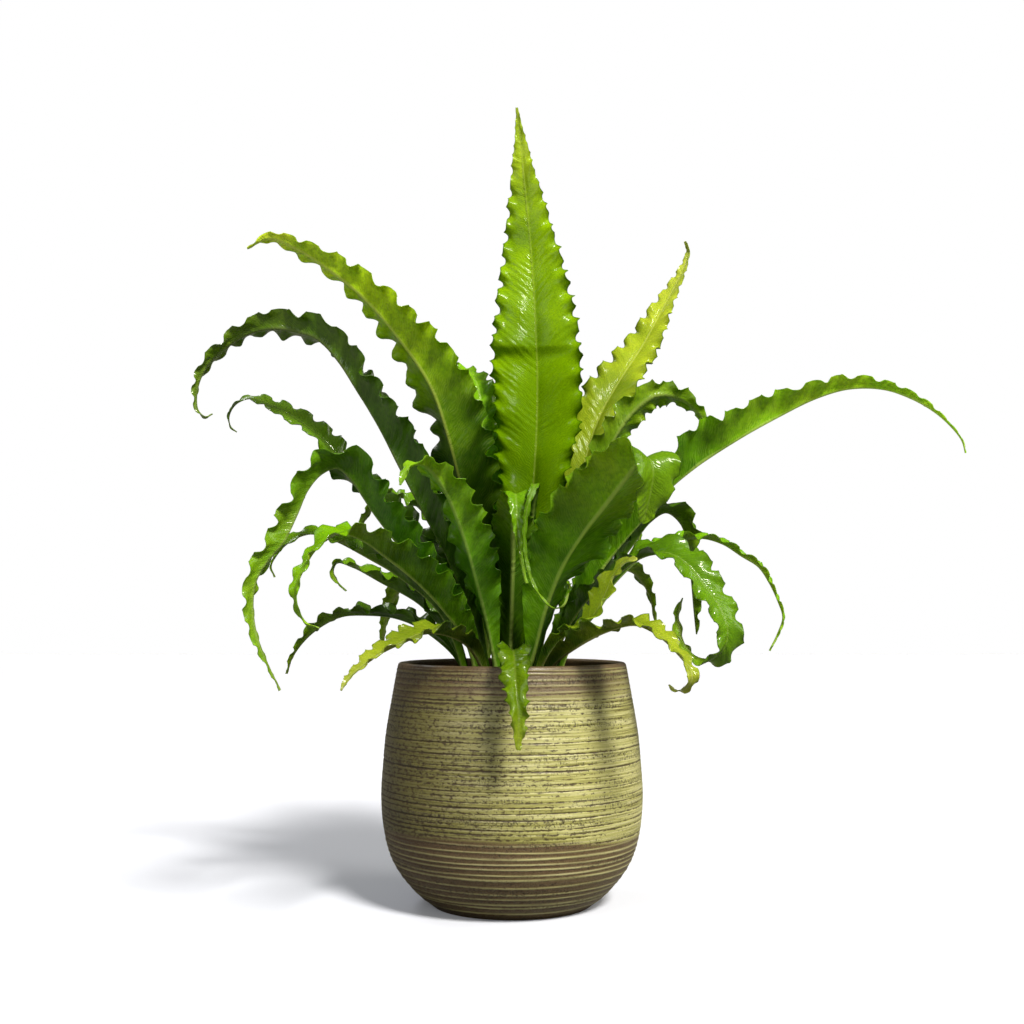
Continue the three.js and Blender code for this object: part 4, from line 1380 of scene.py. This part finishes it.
@dataclass
class Studio:
    """Pale floor, soft lights and the camera at the photo's viewing angle.

    A far light has its watts on a square metre, how wide it looks, its angle above the floor and
    its angle from the viewer's direction towards the right. A softbox has its watts, its side and
    its place in metres, and faces the middle of the plant.
    """

    lens_mm: float = 46.58
    sensor_mm: float = 36.0
    camera_place: tuple[float, float, float] = (0.0, -1.290, 0.279)
    camera_tilt: float = 94.19
    floor_size: float = 14.0
    floor_colour: str = "e4eafa"
    bounce_colour: str = "80807c"
    floor_glow: float = 0.05
    key_colour: str = "fff8ea"
    seen_colour: str = "ffffff"
    soft_colour: str = "fff6dc"
    light_strength: float = 0.15
    aim_height: float = 0.4
    far_lights: tuple[tuple[str, float, float, float, float], ...] = (
        ("key_light", 4.1, 13.0, 46.0, 31.0),
        ("side_light", 0.9, 34.0, 32.0, 80.0),
    )
    softboxes: tuple[tuple[str, float, float, tuple[float, float, float]], ...] = (
        ("back_softbox", 9.0, 0.6, (-1.2, 1.2, 1.9)),
        ("fill_softbox", 8.0, 1.2, (-1.1, -1.4, 1.1)),
    )

    def build(self) -> None:
        """Set up floor, world, lights and camera, and plain sRGB colours."""
        bpy.context.scene.view_settings.view_transform = "Standard"
        self.add_floor()
        self.add_world()
        tint = linear_colour(self.key_colour)[:3]
        for name, watts, spread, height, side in self.far_lights:
            self.hang(bpy.data.lights.new(name, "SUN"), (math.radians(90 - height), 0, math.radians(side)),
                      energy=watts, angle=math.radians(spread), color=tint)
        for name, watts, size, (x, y, z) in self.softboxes:
            turn = (math.atan2(math.hypot(x, y), z - self.aim_height), 0, math.atan2(-y, -x) - math.pi / 2)
            self.hang(bpy.data.lights.new(name, "AREA"), turn, (x, y, z), energy=watts, shape="SQUARE",
                      size=size)
        bpy.context.scene.camera = self.hang(
            bpy.data.cameras.new("photo_view"), (math.radians(self.camera_tilt), 0, 0), self.camera_place,
            lens=self.lens_mm, sensor_width=self.sensor_mm)

    def add_floor(self) -> None:
        """Lay the floor at height 0."""
        bpy.ops.object.select_all(action="DESELECT")
        bpy.ops.mesh.primitive_plane_add(size=self.floor_size)
        floor = bpy.context.object
        floor.name = "studio_floor"
        material, add = new_material("matt_painted_floor")
        dust = add("TexNoise", {"Vector": add("TexCoord", out="Object"), "Scale": 3.0, "Detail": 2.0})
        seen = add("LightPath", out="Is Camera Ray")
        shader = add("BsdfPrincipled", {
            "Base Color": add("Mix", {0: seen, 6: self.bounce_colour, 7: self.floor_colour}, **RGBA),
            "Roughness": add("MapRange", (dust, 0.0, 1.0, 0.85, 0.95)), "Specular IOR Level": 0.0,
            "Emission Color": self.seen_colour,
            "Emission Strength": add("Math", (seen, self.floor_glow), **TIMES)})
        add("OutputMaterial", (shader,), None)
        floor.data.materials.append(material)

    def add_world(self) -> None:
        """Light everything softly from all round, in front of a white background."""
        world = bpy.data.worlds.new("studio_surround")
        world.use_nodes = True
        world.node_tree.nodes.clear()
        add = partial(add_node, world.node_tree)
        seen = add("LightPath", out="Is Camera Ray")
        shade = add("Mix", {0: seen, 6: self.soft_colour, 7: self.seen_colour}, **RGBA)
        strength = add("MapRange", (seen, 0.0, 1.0, self.light_strength, 1.0))
        add("OutputWorld", (add("Background", {"Color": shade, "Strength": strength}),), None)
        bpy.context.scene.world = world

    def hang(
        self, data: Any, turn: Sequence[float], place: Sequence[float] = (0, 0, 0), **settings: Any
    ) -> bpy.types.Object:
        """Bring a light or the camera into the scene.

        Args:
            data: The new light or camera.
            turn: Its rotation in radians.
            place: Where it hangs, in metres.
            **settings: Its own properties.

        Returns:
            Its object.
        """
        for name, value in settings.items():
            setattr(data, name, value)
        item = bpy.data.objects.new(data.name, data)
        item.location = place
        item.rotation_euler = turn
        bpy.context.scene.collection.objects.link(item)
        return item


def main() -> None:
    """Build the scene piece by piece."""
    logging.basicConfig(level=logging.INFO, format="%(name)s %(message)s")
    Studio().build()
    planter = Planter()
    settle(planter.build(), GlazeFinish().make(), "planter")
    bark = EarthFinish("shredded_bark_and_peat", dark="17100a", light="4a3522", grain_mm=3.0)
    settle(PottingMix().build(planter), bark.make(), "potting_mix")
    chaff = EarthFinish("dry_fern_scales", dark="1d120a", light="6a4a2a", grain_mm=1.6)
    settle(Crown().build(), chaff.make(), "crown")
    leaves = {finish.tone: finish.make() for finish in LEAF_FINISHES}
    for index, plan in enumerate(FRONDS):
        leaf = leaves[plan.look or plan.tone]
        settle(Frond(plan, index).build(), leaf, "frond_" + plan.name)


if __name__ == "__main__":
    main()
